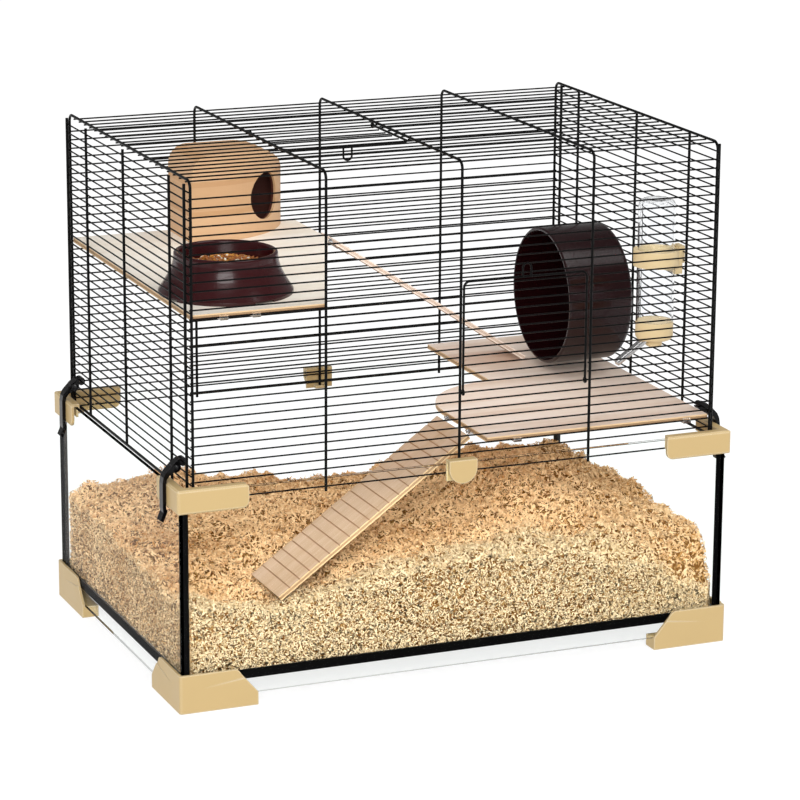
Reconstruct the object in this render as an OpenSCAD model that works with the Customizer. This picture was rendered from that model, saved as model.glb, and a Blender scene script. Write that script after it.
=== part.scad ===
// Rodent cage: a glass tank with a wire hood, two plywood shelves with ramps, a house, a bowl,
// a running wheel and a bottle. Millimetres. +X is to the right of the front, +Y to the back,
// +Z up, and the origin is on the ground under the middle of the tank.

/* [Tank] */
// Width of the tank over the glass
tank_w = 589; // [540:1:640]
// Depth of the tank over the glass
tank_d = 394; // [370:1:430]
// Height of the rim of the glass above the ground
rim_z = 223; // [200:1:240]
// Thickness of the glass
glass_t = 4; // [3:0.5:6]
// Height of the bottom edge of the glass above the ground
glass_z = 12; // [8:1:14]
// Height of the underside of the floor pane above the ground
floor_z = 26; // [22:1:30]
// Thickness of the floor pane
floor_t = 5; // [3:0.5:6]
// Width of the black sealant bead in each corner
bead_w = 5.5; // [3:0.5:8]
// Height of the black seam round the floor pane
seam_h = 9.5; // [8:0.5:14]
// Thickness of the seam round the floor pane
seam_t = 2; // [1:0.5:3]

/* [Feet and rim fittings] */
// Height of a foot
foot_h = 39; // [36:1:60]
// Length of a foot along the front
foot_len_x = 81; // [60:1:110]
// Length of a foot along the side
foot_len_y = 86; // [60:1:110]
// Thickness of a foot's outer wall
foot_wall = 3; // [2:0.5:5]
// Width of a foot's base
foot_base_w = 19; // [14:1:30]
// Height of the step at the end of a foot
foot_step_h = 13.5; // [13:0.5:20]
// Length of a corner bracket along the front
bracket_len_x = 73; // [45:1:100]
// Length of a corner bracket along the side
bracket_len_y = 62; // [60:1:100]
// Depth that a bracket reaches below the rim
bracket_drop = 21; // [20:1:30]
// Thickness of a bracket above the rim
bracket_top = 3; // [2.5:0.5:6]
// Thickness of a bracket's outer flange
bracket_t = 3.3; // [2.5:0.1:5]
// Thickness of a bracket's inner flange
flange_t = 2; // [1.5:0.1:2.2]
// Half width of the clip at the middle of the rim
clip_r = 15; // [12:0.5:20]

/* [Hood] */
// Height of the top of the hood above the ground
hood_z = 525; // [500:1:560]
// Gap between the glass and the outer hoops along the width
hood_gap_x = 11; // [9:0.5:13]
// Gap between the glass and the hoops along the depth
hood_gap_y = 2.5; // [2.5:0.1:4]
// Diameter of the hoops
hoop_d = 2.8; // [2.4:0.1:3.4]
// Radius of a hoop's corners
hoop_bend = 8; // [5:0.5:12]
// Distance from the middle to the two inner hoops
inner_hoop_x = 141.5; // [135:0.5:150]
// Diameter of the fine wires
wire_d = 1.6; // [1.4:0.1:1.8]
// Height of the first fine wire below the rim
first_wire_drop = 11.9; // [10:0.1:13]
// Distance from one fine wire to the next
wire_pitch = 8.93; // [8.5:0.01:9.5]
// Distance from one roof wire to the next
roof_pitch = 17.44; // [16.5:0.01:18.5]
// Diameter of the frame of a side panel
rod_d = 3; // [2.6:0.1:3.6]
// Drop of the bottom rod of a side panel below the rim
rod_drop = 4.5; // [4:0.1:6]

/* [Doors] */
// Number of fine wires in the front door
front_door_rows = 12; // [8:1:14]
// Number of the wire that the front door hangs on, from the bottom
front_door_first = 9; // [6:1:11]
// Number of roof wires in the roof door
roof_door_rows = 5; // [3:1:7]
// Number of roof wires in front of the roof door
roof_door_first = 7; // [5:1:9]
// Diameter of the frame of a door
door_d = 2.4; // [2:0.1:3]
// Gap between a door and the hoops beside it
door_gap = 1.6; // [1.2:0.1:4]
// Width of a finger loop
loop_w = 11; // [8:0.5:16]
// Height of a finger loop
loop_h = 15; // [13:0.5:18]
// Diameter of a finger loop's wire
loop_d = 2; // [1.6:0.1:2.4]

/* [Latches] */
// Distance of each latch from the middle of the side
latch_y = 163; // [158:1:170]
// Width of a latch
latch_w = 10; // [8:1:14]
// Number of the side wire that a latch hangs on
latch_row = 3; // [3:1:4]
// Thickness of a latch's arm
latch_t = 3.5; // [2.5:0.1:5]
// Length of a latch's nose under the bracket
latch_bite = 0.8; // [0.5:0.1:1.2]

/* [Shelves] */
// Thickness of the plywood shelves
shelf_t = 5; // [4:0.5:6]
// Number of the fine wire at the upper shelf
upper_row = 20; // [18:1:21]
// Number of the fine wire at the lower shelf
lower_row = 3; // [3:1:4]
// Distance of the upper shelf's right edge from the middle
upper_edge_x = 30; // [10:1:60]
// Length of the upper shelf's straight right edge, from the back
upper_edge_len = 97; // [90:1:140]
// Length of the upper shelf's front edge, from the left
upper_front_len = 137; // [120:1:150]
// Distance of the lower shelf's left edge from the middle
lower_edge_x = 32; // [15:1:50]
// Distance of the lower shelf's back part from the middle
lower_back_x = 126; // [100:1:140]
// Depth of the lower shelf's wide front part
lower_front_len = 202; // [190:1:230]
// Radius of the lower shelf's round corner
lobe_r = 90; // [60:1:94]

/* [Ramps] */
// Thickness of the ramps
ramp_t = 5; // [4:0.5:6]
// Width of the upper ramp
upper_ramp_w = 48; // [40:1:60]
// Distance of the upper ramp's middle behind the middle of the cage
upper_ramp_y = 106; // [100:1:120]
// Distance along the floor that the upper ramp covers
upper_ramp_run = 222; // [200:1:235]
// Width of the lower ramp
lower_ramp_w = 78; // [60:1:90]
// Distance of the lower ramp's middle in front of the middle of the cage
lower_ramp_y = 119; // [110:1:125]
// Distance along the floor that the lower ramp covers
lower_ramp_run = 206; // [180:1:225]
// Height of the lower ramp's foot above the floor pane
lower_ramp_foot = 59; // [57:1:80]
// Distance between the grooves of a ramp
groove_pitch = 13; // [8:0.5:20]
// Width of a groove
groove_w = 1.4; // [0.8:0.1:2]
// Depth of a groove
groove_h = 0.8; // [0.4:0.1:1.5]

/* [House] */
// Distance of the house's left wall from the middle of the cage
house_x = 173; // [165:1:185]
// Length of the house's straight front
house_front_len = 21; // [10:1:30]
// Radius of the house's round front wall
house_r = 111; // [100:1:115]
// Depth of the house at its left wall
house_d = 75; // [65:1:85]
// Height of the house
house_h = 92; // [80:1:100]
// Thickness of the house's walls
house_t = 5; // [3:0.5:6]
// Radius of the roof's bend on the left
house_bend = 20; // [12:1:30]
// Radius of the roof's fall on the right
house_fall = 67; // [60:1:75]
// Length of the flat part of the roof
house_flat = 48; // [40:1:60]
// Diameter of the house's entrance
entrance_d = 50; // [36:1:52]
// Height of the entrance's middle
entrance_h = 40.5; // [30:0.5:42]
// Direction of the entrance, from the right towards the front
entrance_a = 51.5; // [45:0.5:55]

/* [Bowl] */
// Distance of the bowl's middle to the left of the cage's middle
bowl_x = 212; // [200:1:212]
// Distance of the bowl's middle in front of the cage's middle
bowl_y = 102; // [98:1:115]
// Radius of the bowl's foot
bowl_foot_r = 66; // [55:1:66]
// Radius of the bowl's rim
bowl_rim_r = 51; // [48:1:56]
// Height of the bowl
bowl_h = 41; // [35:1:50]
// Thickness of the bowl's wall
bowl_t = 2.5; // [2:0.1:3.5]
// Height of the food in the bowl
food_h = 34; // [24:1:36]

/* [Wheel] */
// Radius of the running wheel
wheel_r = 72.5; // [60:0.5:76]
// Length of the wheel's drum
wheel_len = 74; // [50:1:85]
// Distance of the wheel's middle behind the middle of the cage
wheel_y = 40; // [20:1:45]
// Height of the wheel's middle above the lower shelf
wheel_h = 81.6; // [79:0.1:95]
// Thickness of the drum
wheel_t = 2.5; // [2:0.1:4]
// Number of tread ribs inside the drum
wheel_ribs = 72; // [36:6:90]
// Height of a tread rib
rib_h = 1.4; // [0.8:0.1:2]
// Radius of the axle
axle_r = 4; // [3:0.1:5]
// Running clearance of the axle in the hub
axle_fit = 0.08; // [0.02:0.01:0.1]
// Radius of the wheel's mount on the side panel
mount_r = 20; // [16:0.5:30]
// Thickness of the wheel's mount
mount_t = 3; // [2:0.5:5]
// Gap between the wheel and its mount
wheel_gap = 8; // [5:0.5:12]

/* [Bottle] */
// Distance of the bottle's middle in front of the cage's middle
bottle_y = 108; // [105:1:115]
// Gap between the bottle and the side panel
bottle_gap = 6; // [5:0.5:14]
// Radius of the bottle
bottle_r = 19.5; // [16:0.5:22]
// Height of the bottle's body
bottle_h = 128; // [110:1:130]
// Thickness of the bottle's wall
bottle_t = 1.5; // [1:0.1:2.5]
// Height of the bottle's shoulder above the lower shelf
bottle_foot = 83; // [80:1:90]
// Height of the bottle's cap
cap_h = 20; // [16:1:26]
// Height of the small collar under the cap
collar_h = 7; // [6:0.5:10]
// Radius of the steel spout
spout_r = 4; // [3:0.5:5]
// Length of the steel spout
spout_len = 51; // [44:1:54]
// Slope of the spout below level
spout_a = 34; // [26:1:38]
// Height of the holder's ring
ring_h = 17; // [14:1:24]
// Thickness of the holder's ring
ring_t = 3.8; // [2:0.1:4]
// Clearance of the bottle in the ring
ring_fit = 0.1; // [0.05:0.01:0.1]

/* [Hidden] */

tan_c = "#E3C088";
wire_c = "#16181A";
ply_c = "#E0C9A8";
glass_c = [0.80, 0.88, 0.88, 0.3];
bedding_c = "#DDB27A";
aubergine_c = "#3A1E24";
steel_c = "#B8BCC0";
clear_c = [0.9, 0.92, 0.92, 0.5];

// Air left where a wire is welded on another wire
weld = 0.02;
// Air left between pieces that are put together by hand
fit = 0.3;
round_fn = 48;

in_x = tank_w / 2 - glass_t;
in_y = tank_d / 2 - glass_t;
floor_top = floor_z + floor_t;
bracket_x = tank_w / 2 + 0.2 + bracket_t;
bracket_y = tank_d / 2 + 0.2 + bracket_t;
bracket_bottom = rim_z - bracket_drop;
ledge_z = rim_z - 16;
ledge_t = 3;

hoop_x = in_x - hood_gap_x;
hoop_y = in_y - hood_gap_y;
hoop_xs = [-hoop_x + hoop_d / 2, -inner_hoop_x, 0, inner_hoop_x, hoop_x - hoop_d / 2];
hoop_line_y = hoop_y - hoop_d / 2;
hoop_line_z = hood_z - hoop_d / 2;
wire_y = hoop_y - hoop_d - weld - wire_d / 2;
wire_roof_z = hood_z - hoop_d - weld - wire_d / 2;
wire_z0 = rim_z - first_wire_drop;
function row_z(k) = wire_z0 + k * wire_pitch;
row_count = floor((hood_z - hoop_d - hoop_bend - wire_z0) / wire_pitch) + 1;
roof_y0 = -(hoop_line_y - hoop_bend - 2.5);
function roof_row_y(k) = roof_y0 + k * roof_pitch;
roof_count = floor(-2 * roof_y0 / roof_pitch) + 1;

side_wire_x = hoop_x + weld + wire_d / 2;
side_post_x = side_wire_x + wire_d / 2 + weld + hoop_d / 2;
side_frame_x = side_wire_x + wire_d / 2 + weld + rod_d / 2;
rod_z = rim_z - rod_drop;
function side_row_z(k) = rod_z + k * wire_pitch;
side_top_z = hood_z - hoop_d - wire_d;
side_count = floor((side_top_z - rod_z) / wire_pitch);
side_posts = [-140, 0, 120];

door_x0 = hoop_d / 2 + door_gap + door_d / 2;
door_x1 = inner_hoop_x - hoop_d / 2 - door_gap - door_d / 2;
front_hinge_z = row_z(front_door_first);
front_door_top = row_z(front_door_first + front_door_rows) + wire_pitch / 2;
front_rows_top = front_door_first + front_door_rows;
roof_hinge_row = roof_door_first + roof_door_rows;
roof_hinge_y = roof_row_y(roof_hinge_row);
roof_door_front = roof_row_y(roof_door_first) - roof_pitch / 2;

shelf_y = wire_y - wire_d / 2 - 0.6;
shelf_x = hoop_x - 2;
upper_bottom = row_z(upper_row) - 1;
upper_top = upper_bottom + shelf_t;
lower_bottom = row_z(lower_row) - 1;
lower_top = lower_bottom + shelf_t;

// A ramp turns on a rod that a staple holds before the shelf's edge
staple_d = 2;
hook_d = 1.6;
hook_r = staple_d / 2 + 0.1 + hook_d / 2;
rod_reach = hook_r + hook_d / 2 + 0.4;
plank_lift = -hook_r + hook_d / 2 + weld;
upper_rod = [-upper_edge_x + rod_reach, upper_top - ramp_t - plank_lift];
lower_rod = [lower_edge_x - rod_reach, lower_top - ramp_t - plank_lift];
upper_drop = upper_rod[1] - lower_top - fit + plank_lift;
upper_ramp_a = atan2(upper_drop, upper_ramp_run);
upper_ramp_len = upper_ramp_run / cos(upper_ramp_a);
lower_drop = lower_rod[1] - floor_top - lower_ramp_foot;
lower_ramp_a = atan2(lower_drop, lower_ramp_run);
lower_ramp_len = lower_ramp_run / cos(lower_ramp_a);

wheel_z = lower_top + wheel_h;
mount_x = hoop_x - mount_t;
wheel_back_x = mount_x - wheel_gap;
bottle_x = hoop_x - bottle_gap - bottle_r;
bottle_z = lower_top + bottle_foot;
ring_z = bottle_z + bottle_h - 70;
holder_tail = 9;

function arc(cx, cy, r, a0, a1, n) =
    [for (i = [0 : n]) let (a = a0 + (a1 - a0) * i / n) [cx + r * cos(a), cy + r * sin(a)]];

// Extrudes an outline drawn in X and Z from one Y to another
module slab_xz(y0, y1) translate([0, y1, 0]) rotate([90, 0, 0]) linear_extrude(y1 - y0) children();
// Extrudes an outline drawn in Y and Z from one X to another
module slab_yz(x0, x1) translate([x0, 0, 0]) rotate([90, 0, 90]) linear_extrude(x1 - x0) children();

module wire_along_x(x0, x1, y, z, d) translate([x0, y, z]) rotate([0, 90, 0]) cylinder(d = d, h = x1 - x0, $fn = 24);
module wire_along_y(x, y0, y1, z, d) translate([x, y0, z]) rotate([-90, 0, 0]) cylinder(d = d, h = y1 - y0, $fn = 24);
module wire_along_z(x, y, z0, z1, d) translate([x, y, z0]) cylinder(d = d, h = z1 - z0, $fn = 24);
// A bend of wire in the plane of its own X and Y
module wire_bend(r, d, a0, a) rotate(a0) rotate_extrude(angle = a, $fn = 48) translate([r, 0]) circle(d = d, $fn = 24);

// Tank

module pane_front() translate([-tank_w / 2, -tank_d / 2, glass_z]) cube([tank_w, glass_t, rim_z - glass_z]);
module glass_front() color(glass_c) pane_front();
module glass_back() color(glass_c) mirror([0, 1, 0]) pane_front();
module pane_left() translate([-tank_w / 2, -in_y, glass_z]) cube([glass_t, 2 * in_y, rim_z - glass_z]);
module glass_left() color(glass_c) pane_left();
module glass_right() color(glass_c) mirror([1, 0, 0]) pane_left();
module glass_floor() color(glass_c)
    translate([-in_x + seam_t, -in_y + seam_t, floor_z]) cube([2 * (in_x - seam_t), 2 * (in_y - seam_t), floor_t]);

module corner_seams() color(wire_c)
    for (mx = [0, 1], my = [0, 1]) mirror([mx, 0, 0]) mirror([0, my, 0])
        translate([-in_x, -in_y, floor_z + seam_h]) linear_extrude(ledge_z - ledge_t - fit - floor_z - seam_h)
            polygon([[0, 0], [bead_w, 0], [bead_w / 3, bead_w / 3], [0, bead_w]]);

module floor_seam() color(wire_c)
    translate([0, 0, floor_z]) linear_extrude(seam_h) difference() {
        square([2 * in_x, 2 * in_y], center = true);
        square([2 * (in_x - seam_t), 2 * (in_y - seam_t)], center = true);
    }

// Outline of a foot's wall from its corner outwards: a step, a slope and a round top
function foot_outline(len) = concat([[0, 0], [len, 0], [len, foot_step_h]],
    arc(len - 25, foot_h - 8, 8, 20, 90, 6), [[0, foot_h]]);

// The upper part of a foot's wall leans back a little more the nearer it is to the foot's end
module foot_crease() translate([24, 0, foot_h - 15]) rotate([0, -7, 1.2]) translate([0, -10, 0]) cube([100, 10, 40]);

module foot_at_front_left() {
    corner_x = tank_w / 2 + foot_wall;
    corner_y = tank_d / 2 + foot_wall;
    intersection() {
        translate([-corner_x, -corner_y, 0]) difference() {
            union() {
                slab_xz(0, foot_wall) polygon(foot_outline(foot_len_x));
                slab_yz(0, foot_wall) polygon(foot_outline(foot_len_y));
                cube([foot_len_x, foot_base_w, glass_z]);
                cube([foot_base_w, foot_len_y, glass_z]);
            }
            foot_crease();
            mirror([1, -1, 0]) foot_crease();
        }
        translate([-corner_x, -corner_y, 0]) linear_extrude(foot_h)
            polygon(concat(arc(3, 3, 3, 180, 270, 6), [[foot_len_x, 0], [foot_len_x, foot_len_y], [0, foot_len_y]]));
    }
}
module foot_front_left() color(tan_c) foot_at_front_left();
module foot_front_right() color(tan_c) mirror([1, 0, 0]) foot_at_front_left();
module foot_back_left() color(tan_c) mirror([0, 1, 0]) foot_at_front_left();
module foot_back_right() color(tan_c) mirror([1, 0, 0]) mirror([0, 1, 0]) foot_at_front_left();

// Outline of a bracket's outer flange from its corner: round lower end, small bevel on top
function flange_outline(len, h) = concat([[0, 0]], arc(len - 8, 8, 8, 270, 360, 6),
    [[len, h - 2], [len - 2, h], [0, h]]);

module bracket_at_front_left() {
    h = bracket_drop + bracket_top;
    web = bracket_t + glass_t + 0.4 + flange_t;
    inner_drop = 11;
    translate([-bracket_x, -bracket_y, bracket_bottom]) intersection() {
        union() {
            slab_xz(0, bracket_t) polygon(flange_outline(bracket_len_x, h));
            slab_yz(0, bracket_t) polygon(flange_outline(bracket_len_y, h));
            translate([0, 0, bracket_drop]) cube([bracket_len_x - 2, web, bracket_top]);
            translate([0, 0, bracket_drop]) cube([web, bracket_len_y - 2, bracket_top]);
            translate([web - flange_t, web - flange_t, bracket_drop - inner_drop])
                cube([bracket_len_x - web, flange_t, inner_drop]);
            translate([web - flange_t, web - flange_t, bracket_drop - inner_drop])
                cube([flange_t, bracket_len_y - web, inner_drop]);
            bracket_ledge(web);
        }
        bracket_bevel(h);
    }
}
// The shelf inside the corner that the hood's outer hoop stands on
module bracket_ledge(web) {
    ledge_x = bracket_x - hoop_x + hoop_d + 6;
    ledge_y = bracket_y - hoop_y + hoop_d + 6;
    translate([web - flange_t, web - flange_t, ledge_z - bracket_bottom - ledge_t])
        cube([ledge_x - web + flange_t, ledge_y - web + flange_t, ledge_t]);
    translate([web - flange_t, web - flange_t, ledge_z - bracket_bottom])
        cube([ledge_x - web + flange_t, flange_t, bracket_drop - (ledge_z - bracket_bottom)]);
    translate([web - flange_t, web - flange_t, ledge_z - bracket_bottom])
        cube([flange_t, ledge_y - web + flange_t, bracket_drop - (ledge_z - bracket_bottom)]);
}
// Keeps the outer corner round and bevels the outer top and bottom edges
module bracket_bevel(h) {
    bevel = 1.6;
    cut = bracket_len_x + bracket_len_y;
    difference() {
        linear_extrude(h) polygon(concat(arc(3, 3, 3, 180, 270, 6), [[cut, 0], [cut, cut], [0, cut]]));
        slab_yz(-1, cut) polygon([[-1, h - bevel - 1], [bevel + 1, h + 1], [-1, h + 1]]);
        slab_xz(-1, cut) polygon([[-1, h - bevel - 1], [bevel + 1, h + 1], [-1, h + 1]]);
        slab_yz(-1, cut) polygon([[-1, bevel + 1], [bevel + 1, -1], [-1, -1]]);
        slab_xz(-1, cut) polygon([[-1, bevel + 1], [bevel + 1, -1], [-1, -1]]);
    }
}
module bracket_front_left() color(tan_c) bracket_at_front_left();
module bracket_front_right() color(tan_c) mirror([1, 0, 0]) bracket_at_front_left();
module bracket_back_left() color(tan_c) mirror([0, 1, 0]) bracket_at_front_left();
module bracket_back_right() color(tan_c) mirror([1, 0, 0]) mirror([0, 1, 0]) bracket_at_front_left();

module rim_clip_at_front() {
    top = 3;
    face = concat(arc(0, rim_z - clip_r + 9, clip_r, 180, 360, 16), [[clip_r, rim_z + top], [-clip_r, rim_z + top]]);
    inner = in_y - 0.2;
    slab_xz(-bracket_y, -bracket_y + bracket_t) polygon(face);
    translate([-clip_r, -bracket_y, rim_z]) cube([2 * clip_r, bracket_y - inner + flange_t, top]);
    translate([-clip_r, -inner, ledge_z - ledge_t]) cube([2 * clip_r, flange_t, rim_z - ledge_z + ledge_t]);
    translate([-6, -inner, ledge_z - ledge_t]) cube([12, inner - hoop_y + hoop_d + 2, ledge_t]);
}
module rim_clip_front() color(tan_c) rim_clip_at_front();
module rim_clip_back() color(tan_c) mirror([0, 1, 0]) rim_clip_at_front();

// Bedding: a heap whose height is a level layer with soft mounds and dips, each a bell curve
bed_x = in_x - seam_t - fit;
bed_y = in_y - seam_t - fit;
bed_cols = 44;
bed_rows = 30;
bed_level = 80;
function bell(v, c, w) = exp(-pow((v - c) / w, 2));
function bed_h(x, y) = bed_level
    + 50 * bell(x, 150, 95) * bell(y, 10, 110)
    + 18 * bell(x, -190, 90) * bell(y, 200, 90)
    - 10 * bell(x, 15, 80) * bell(y, 190, 70)
    - 36 * bell(x, -195, 80) * bell(y, -120, 80)
    + 8 * bell(x, 15, 80) * bell(y, -190, 60)
    - 72 * bell(x, 310, 110) * bell(y, -205, 32)
    + 3 * sin(x * 4.1 + y * 2.3) + 2 * sin(y * 5.3 - x * 3.1)
    + 3.4 * sin(x * 9.7 + 70 * sin(y * 3.1)) * sin(y * 8.9 + 60 * sin(x * 2.3));
function bed_point(i, j) =
    let (y = bed_y * (2 * j / bed_rows - 1),
         chamfer = max(0, bead_w + 1 - (bed_y - abs(y))),
         x = (bed_x - chamfer) * (2 * i / bed_cols - 1))
    [x, y, floor_top + bed_h(x, y)];
module bedding() color(bedding_c) {
    cols = bed_cols + 1;
    top = [for (j = [0 : bed_rows], i = [0 : bed_cols]) bed_point(i, j)];
    rim = concat([for (i = [0 : bed_cols - 1]) i],
        [for (j = [0 : bed_rows - 1]) j * cols + bed_cols],
        [for (i = [bed_cols : -1 : 1]) bed_rows * cols + i],
        [for (j = [bed_rows : -1 : 1]) j * cols]);
    n = len(rim);
    base = len(top);
    bottom = [for (k = rim) [top[k][0], top[k][1], floor_top]];
    faces = concat(
        [for (j = [0 : bed_rows - 1], i = [0 : bed_cols - 1])
            [j * cols + i, (j + 1) * cols + i, j * cols + i + 1]],
        [for (j = [0 : bed_rows - 1], i = [0 : bed_cols - 1])
            [j * cols + i + 1, (j + 1) * cols + i, (j + 1) * cols + i + 1]],
        [for (k = [0 : n - 1]) [base + k, rim[k], rim[(k + 1) % n]]],
        [for (k = [0 : n - 1]) [base + k, rim[(k + 1) % n], base + (k + 1) % n]],
        [for (k = [0 : n - 1]) [base + k, base + (k + 1) % n, base + n]]);
    polyhedron(concat(top, bottom, [[0, 0, floor_top]]), faces);
}

// Hood

module hoop(x) {
    y = hoop_line_y;
    z = hoop_line_z;
    wire_along_z(x, -y, ledge_z, z - hoop_bend, hoop_d);
    wire_along_z(x, y, ledge_z, z - hoop_bend, hoop_d);
    wire_along_y(x, -y + hoop_bend, y - hoop_bend, z, hoop_d);
    translate([x, y - hoop_bend, z - hoop_bend]) rotate([90, 0, 90]) wire_bend(hoop_bend, hoop_d, 0, 90);
    translate([x, -y + hoop_bend, z - hoop_bend]) rotate([90, 0, 90]) wire_bend(hoop_bend, hoop_d, 90, 90);
}
module hoops() color(wire_c) for (x = hoop_xs) hoop(x);

module front_rows(first, last, x0, x1) for (k = [first : last]) wire_along_x(x0, x1, -wire_y, row_z(k), wire_d);
module front_grille_lower() color(wire_c) front_rows(0, front_door_first, -hoop_x, hoop_x);
module front_grille_left() color(wire_c) front_rows(front_door_first + 1, front_rows_top, -hoop_x, hoop_d / 2);
module front_grille_right() color(wire_c)
    front_rows(front_door_first + 1, front_rows_top, inner_hoop_x - hoop_d / 2, hoop_x);
module front_grille_upper() color(wire_c) front_rows(front_rows_top + 1, row_count - 1, -hoop_x, hoop_x);
module back_grille() color(wire_c) mirror([0, 1, 0]) front_rows(0, row_count - 1, -hoop_x, hoop_x);

module roof_rows(first, last, x0, x1)
    for (k = [first : last]) wire_along_x(x0, x1, roof_row_y(k), wire_roof_z, wire_d);
module roof_grille_front() color(wire_c) roof_rows(0, roof_door_first - 1, -hoop_x, hoop_x);
module roof_grille_left() color(wire_c)
    roof_rows(roof_door_first, roof_hinge_row - 1, -hoop_x, -inner_hoop_x + hoop_d / 2);
module roof_grille_right() color(wire_c) roof_rows(roof_door_first, roof_hinge_row - 1, -hoop_d / 2, hoop_x);
module roof_grille_back() color(wire_c) roof_rows(roof_hinge_row, roof_count - 1, -hoop_x, hoop_x);

// The left side panel: fine wires that hook round the hoop, in a frame with posts
module side_panel_at_left() {
    frame_y = hoop_line_y - 5;
    bend = 6;
    hook = hoop_d / 2 + weld + wire_d / 2;
    for (k = [1 : side_count]) {
        wire_along_y(-side_wire_x, -hoop_line_y, hoop_line_y, side_row_z(k), wire_d);
        if (k > 1) for (s = [0, 1]) mirror([0, s, 0])
            translate([-hoop_x + hoop_d / 2, -hoop_line_y, side_row_z(k)]) wire_bend(hook, wire_d, 180, 80);
    }
    wire_along_y(-side_frame_x, -frame_y + bend, frame_y - bend, rod_z, rod_d);
    for (s = [0, 1]) mirror([0, s, 0]) {
        wire_along_z(-side_frame_x, -frame_y, rod_z + bend, side_top_z, rod_d);
        translate([-side_frame_x, -frame_y + bend, rod_z + bend]) rotate([90, 0, 90]) wire_bend(bend, rod_d, 180, 90);
    }
    for (y = side_posts) wire_along_z(-side_post_x, y, rod_z, side_top_z, hoop_d);
}
module side_panel_left() color(wire_c) side_panel_at_left();
module side_panel_right() color(wire_c) rotate(180) side_panel_at_left();

// A door drawn flat: hinge eyes on the X axis, legs along +Y, and a top bar with round corners
module door_frame(w, len) {
    bend = 6;
    eye_r = wire_d / 2 + 0.1 + door_d / 2;
    for (s = [0, 1]) translate([w / 2, 0, 0]) mirror([s, 0, 0]) translate([-w / 2, 0, 0]) {
        translate([0, 0, 0]) rotate([0, 90, 0]) rotate_extrude($fn = 48) translate([eye_r, 0]) circle(d = door_d, $fn = 24);
        wire_along_y(0, eye_r, len - bend, 0, door_d);
        translate([bend, len - bend, 0]) wire_bend(bend, door_d, 90, 90);
    }
    wire_along_x(bend, w - bend, len, 0, door_d);
}
front_door_w = door_x1 - door_x0;
door_wire_shift = door_d / 2 + weld + wire_d / 2;
module front_door() color(wire_c) {
    translate([door_x0, -wire_y, front_hinge_z]) rotate([90, 0, 0])
        door_frame(front_door_w, front_door_top - front_hinge_z);
    for (k = [1 : front_door_rows])
        wire_along_x(door_x0, door_x1, -wire_y + door_wire_shift, row_z(front_door_first + k), wire_d);
}
module roof_door() color(wire_c) {
    translate([-door_x1, roof_hinge_y, wire_roof_z]) mirror([0, 1, 0])
        door_frame(front_door_w, roof_hinge_y - roof_door_front);
    for (k = [0 : roof_door_rows - 1])
        wire_along_x(-door_x1, -door_x0, roof_row_y(roof_door_first + k), wire_roof_z - door_wire_shift, wire_d);
}

// A finger loop drawn in X and Y: two legs joined by a round end
module finger_loop() {
    r = (loop_w - loop_d) / 2;
    for (s = [-1, 1]) wire_along_y(s * r, 0, loop_h - r - loop_d / 2, 0, loop_d);
    translate([0, loop_h - r - loop_d / 2, 0]) wire_bend(r, loop_d, 0, 180);
}
loop_shift = (door_d + loop_d) / 2 + weld;
module front_door_loop() color(wire_c)
    translate([(door_x0 + door_x1) / 2, -wire_y - loop_shift, front_door_top]) rotate([90, 0, 0]) finger_loop();
module roof_door_loop() color(wire_c)
    translate([-(door_x0 + door_x1) / 2, roof_door_front - loop_shift, wire_roof_z]) rotate([-90, 0, 0]) finger_loop();

// Latches: a head with a jaw on a side wire and an eye, a curved arm over the bracket, a nose
// under it and a flick tip
latch_z = side_row_z(latch_row);
module latch_at_left() {
    inner = -bracket_x - fit;
    outer = inner - latch_t;
    nose_z = bracket_bottom - 3.5;
    x = -side_wire_x;
    z = latch_z;
    eye = [x - 7.5, z - 5];
    difference() {
        slab_xz(latch_y - latch_w / 2, latch_y + latch_w / 2) {
            translate([x, z]) circle(r = 4.2, $fn = round_fn);
            translate(eye) circle(r = 5, $fn = round_fn);
            polygon([[x, z + 4], [x - 5.5, z + 2.8], [x - 12.2, z - 2.5], [x - 3, z - 3]]);
            polygon([[eye[0] - 4.8, eye[1] + 2], [outer + 3.5, z - 9], [outer + 1, z - 14], [outer, z - 20],
                [outer, nose_z + 2], [outer + 0.4, nose_z - 2], [outer - 3, nose_z - 10],
                [outer + 0.5, nose_z - 12], [inner - 0.3, nose_z - 5], [-bracket_x + latch_bite, nose_z - 2.4],
                [-bracket_x + latch_bite, nose_z], [inner, nose_z + 1.2], [inner, rim_z + bracket_top - 1.5],
                [inner + 1.1, rim_z + bracket_top + 3], [inner + 4, z - 12.3], [eye[0] - 1.5, eye[1] - 4.6]]);
        }
        translate([eye[0], latch_y + latch_w, eye[1]]) rotate([90, 0, 0])
            cylinder(r = 2.2, h = 2 * latch_w, $fn = 24);
        translate([x, latch_y + latch_w, z]) rotate([90, 0, 0])
            cylinder(r = wire_d / 2 + 0.1, h = 2 * latch_w, $fn = round_fn);
        translate([x, latch_y - latch_w, z - wire_d / 2 + 0.05]) cube([10, 2 * latch_w, wire_d - 0.1]);
    }
}
module latch_front_left() color(wire_c) mirror([0, 1, 0]) latch_at_left();
module latch_front_right() color(wire_c) mirror([1, 0, 0]) mirror([0, 1, 0]) latch_at_left();
module latch_back_left() color(wire_c) latch_at_left();
module latch_back_right() color(wire_c) mirror([1, 0, 0]) latch_at_left();

// Shelves

module upper_shelf() color(ply_c)
    translate([0, 0, upper_bottom]) linear_extrude(shelf_t) polygon([
        [-shelf_x, -shelf_y], [-shelf_x + upper_front_len, -shelf_y], [-upper_edge_x, shelf_y - upper_edge_len],
        [-upper_edge_x, shelf_y], [-shelf_x, shelf_y]]);

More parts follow.
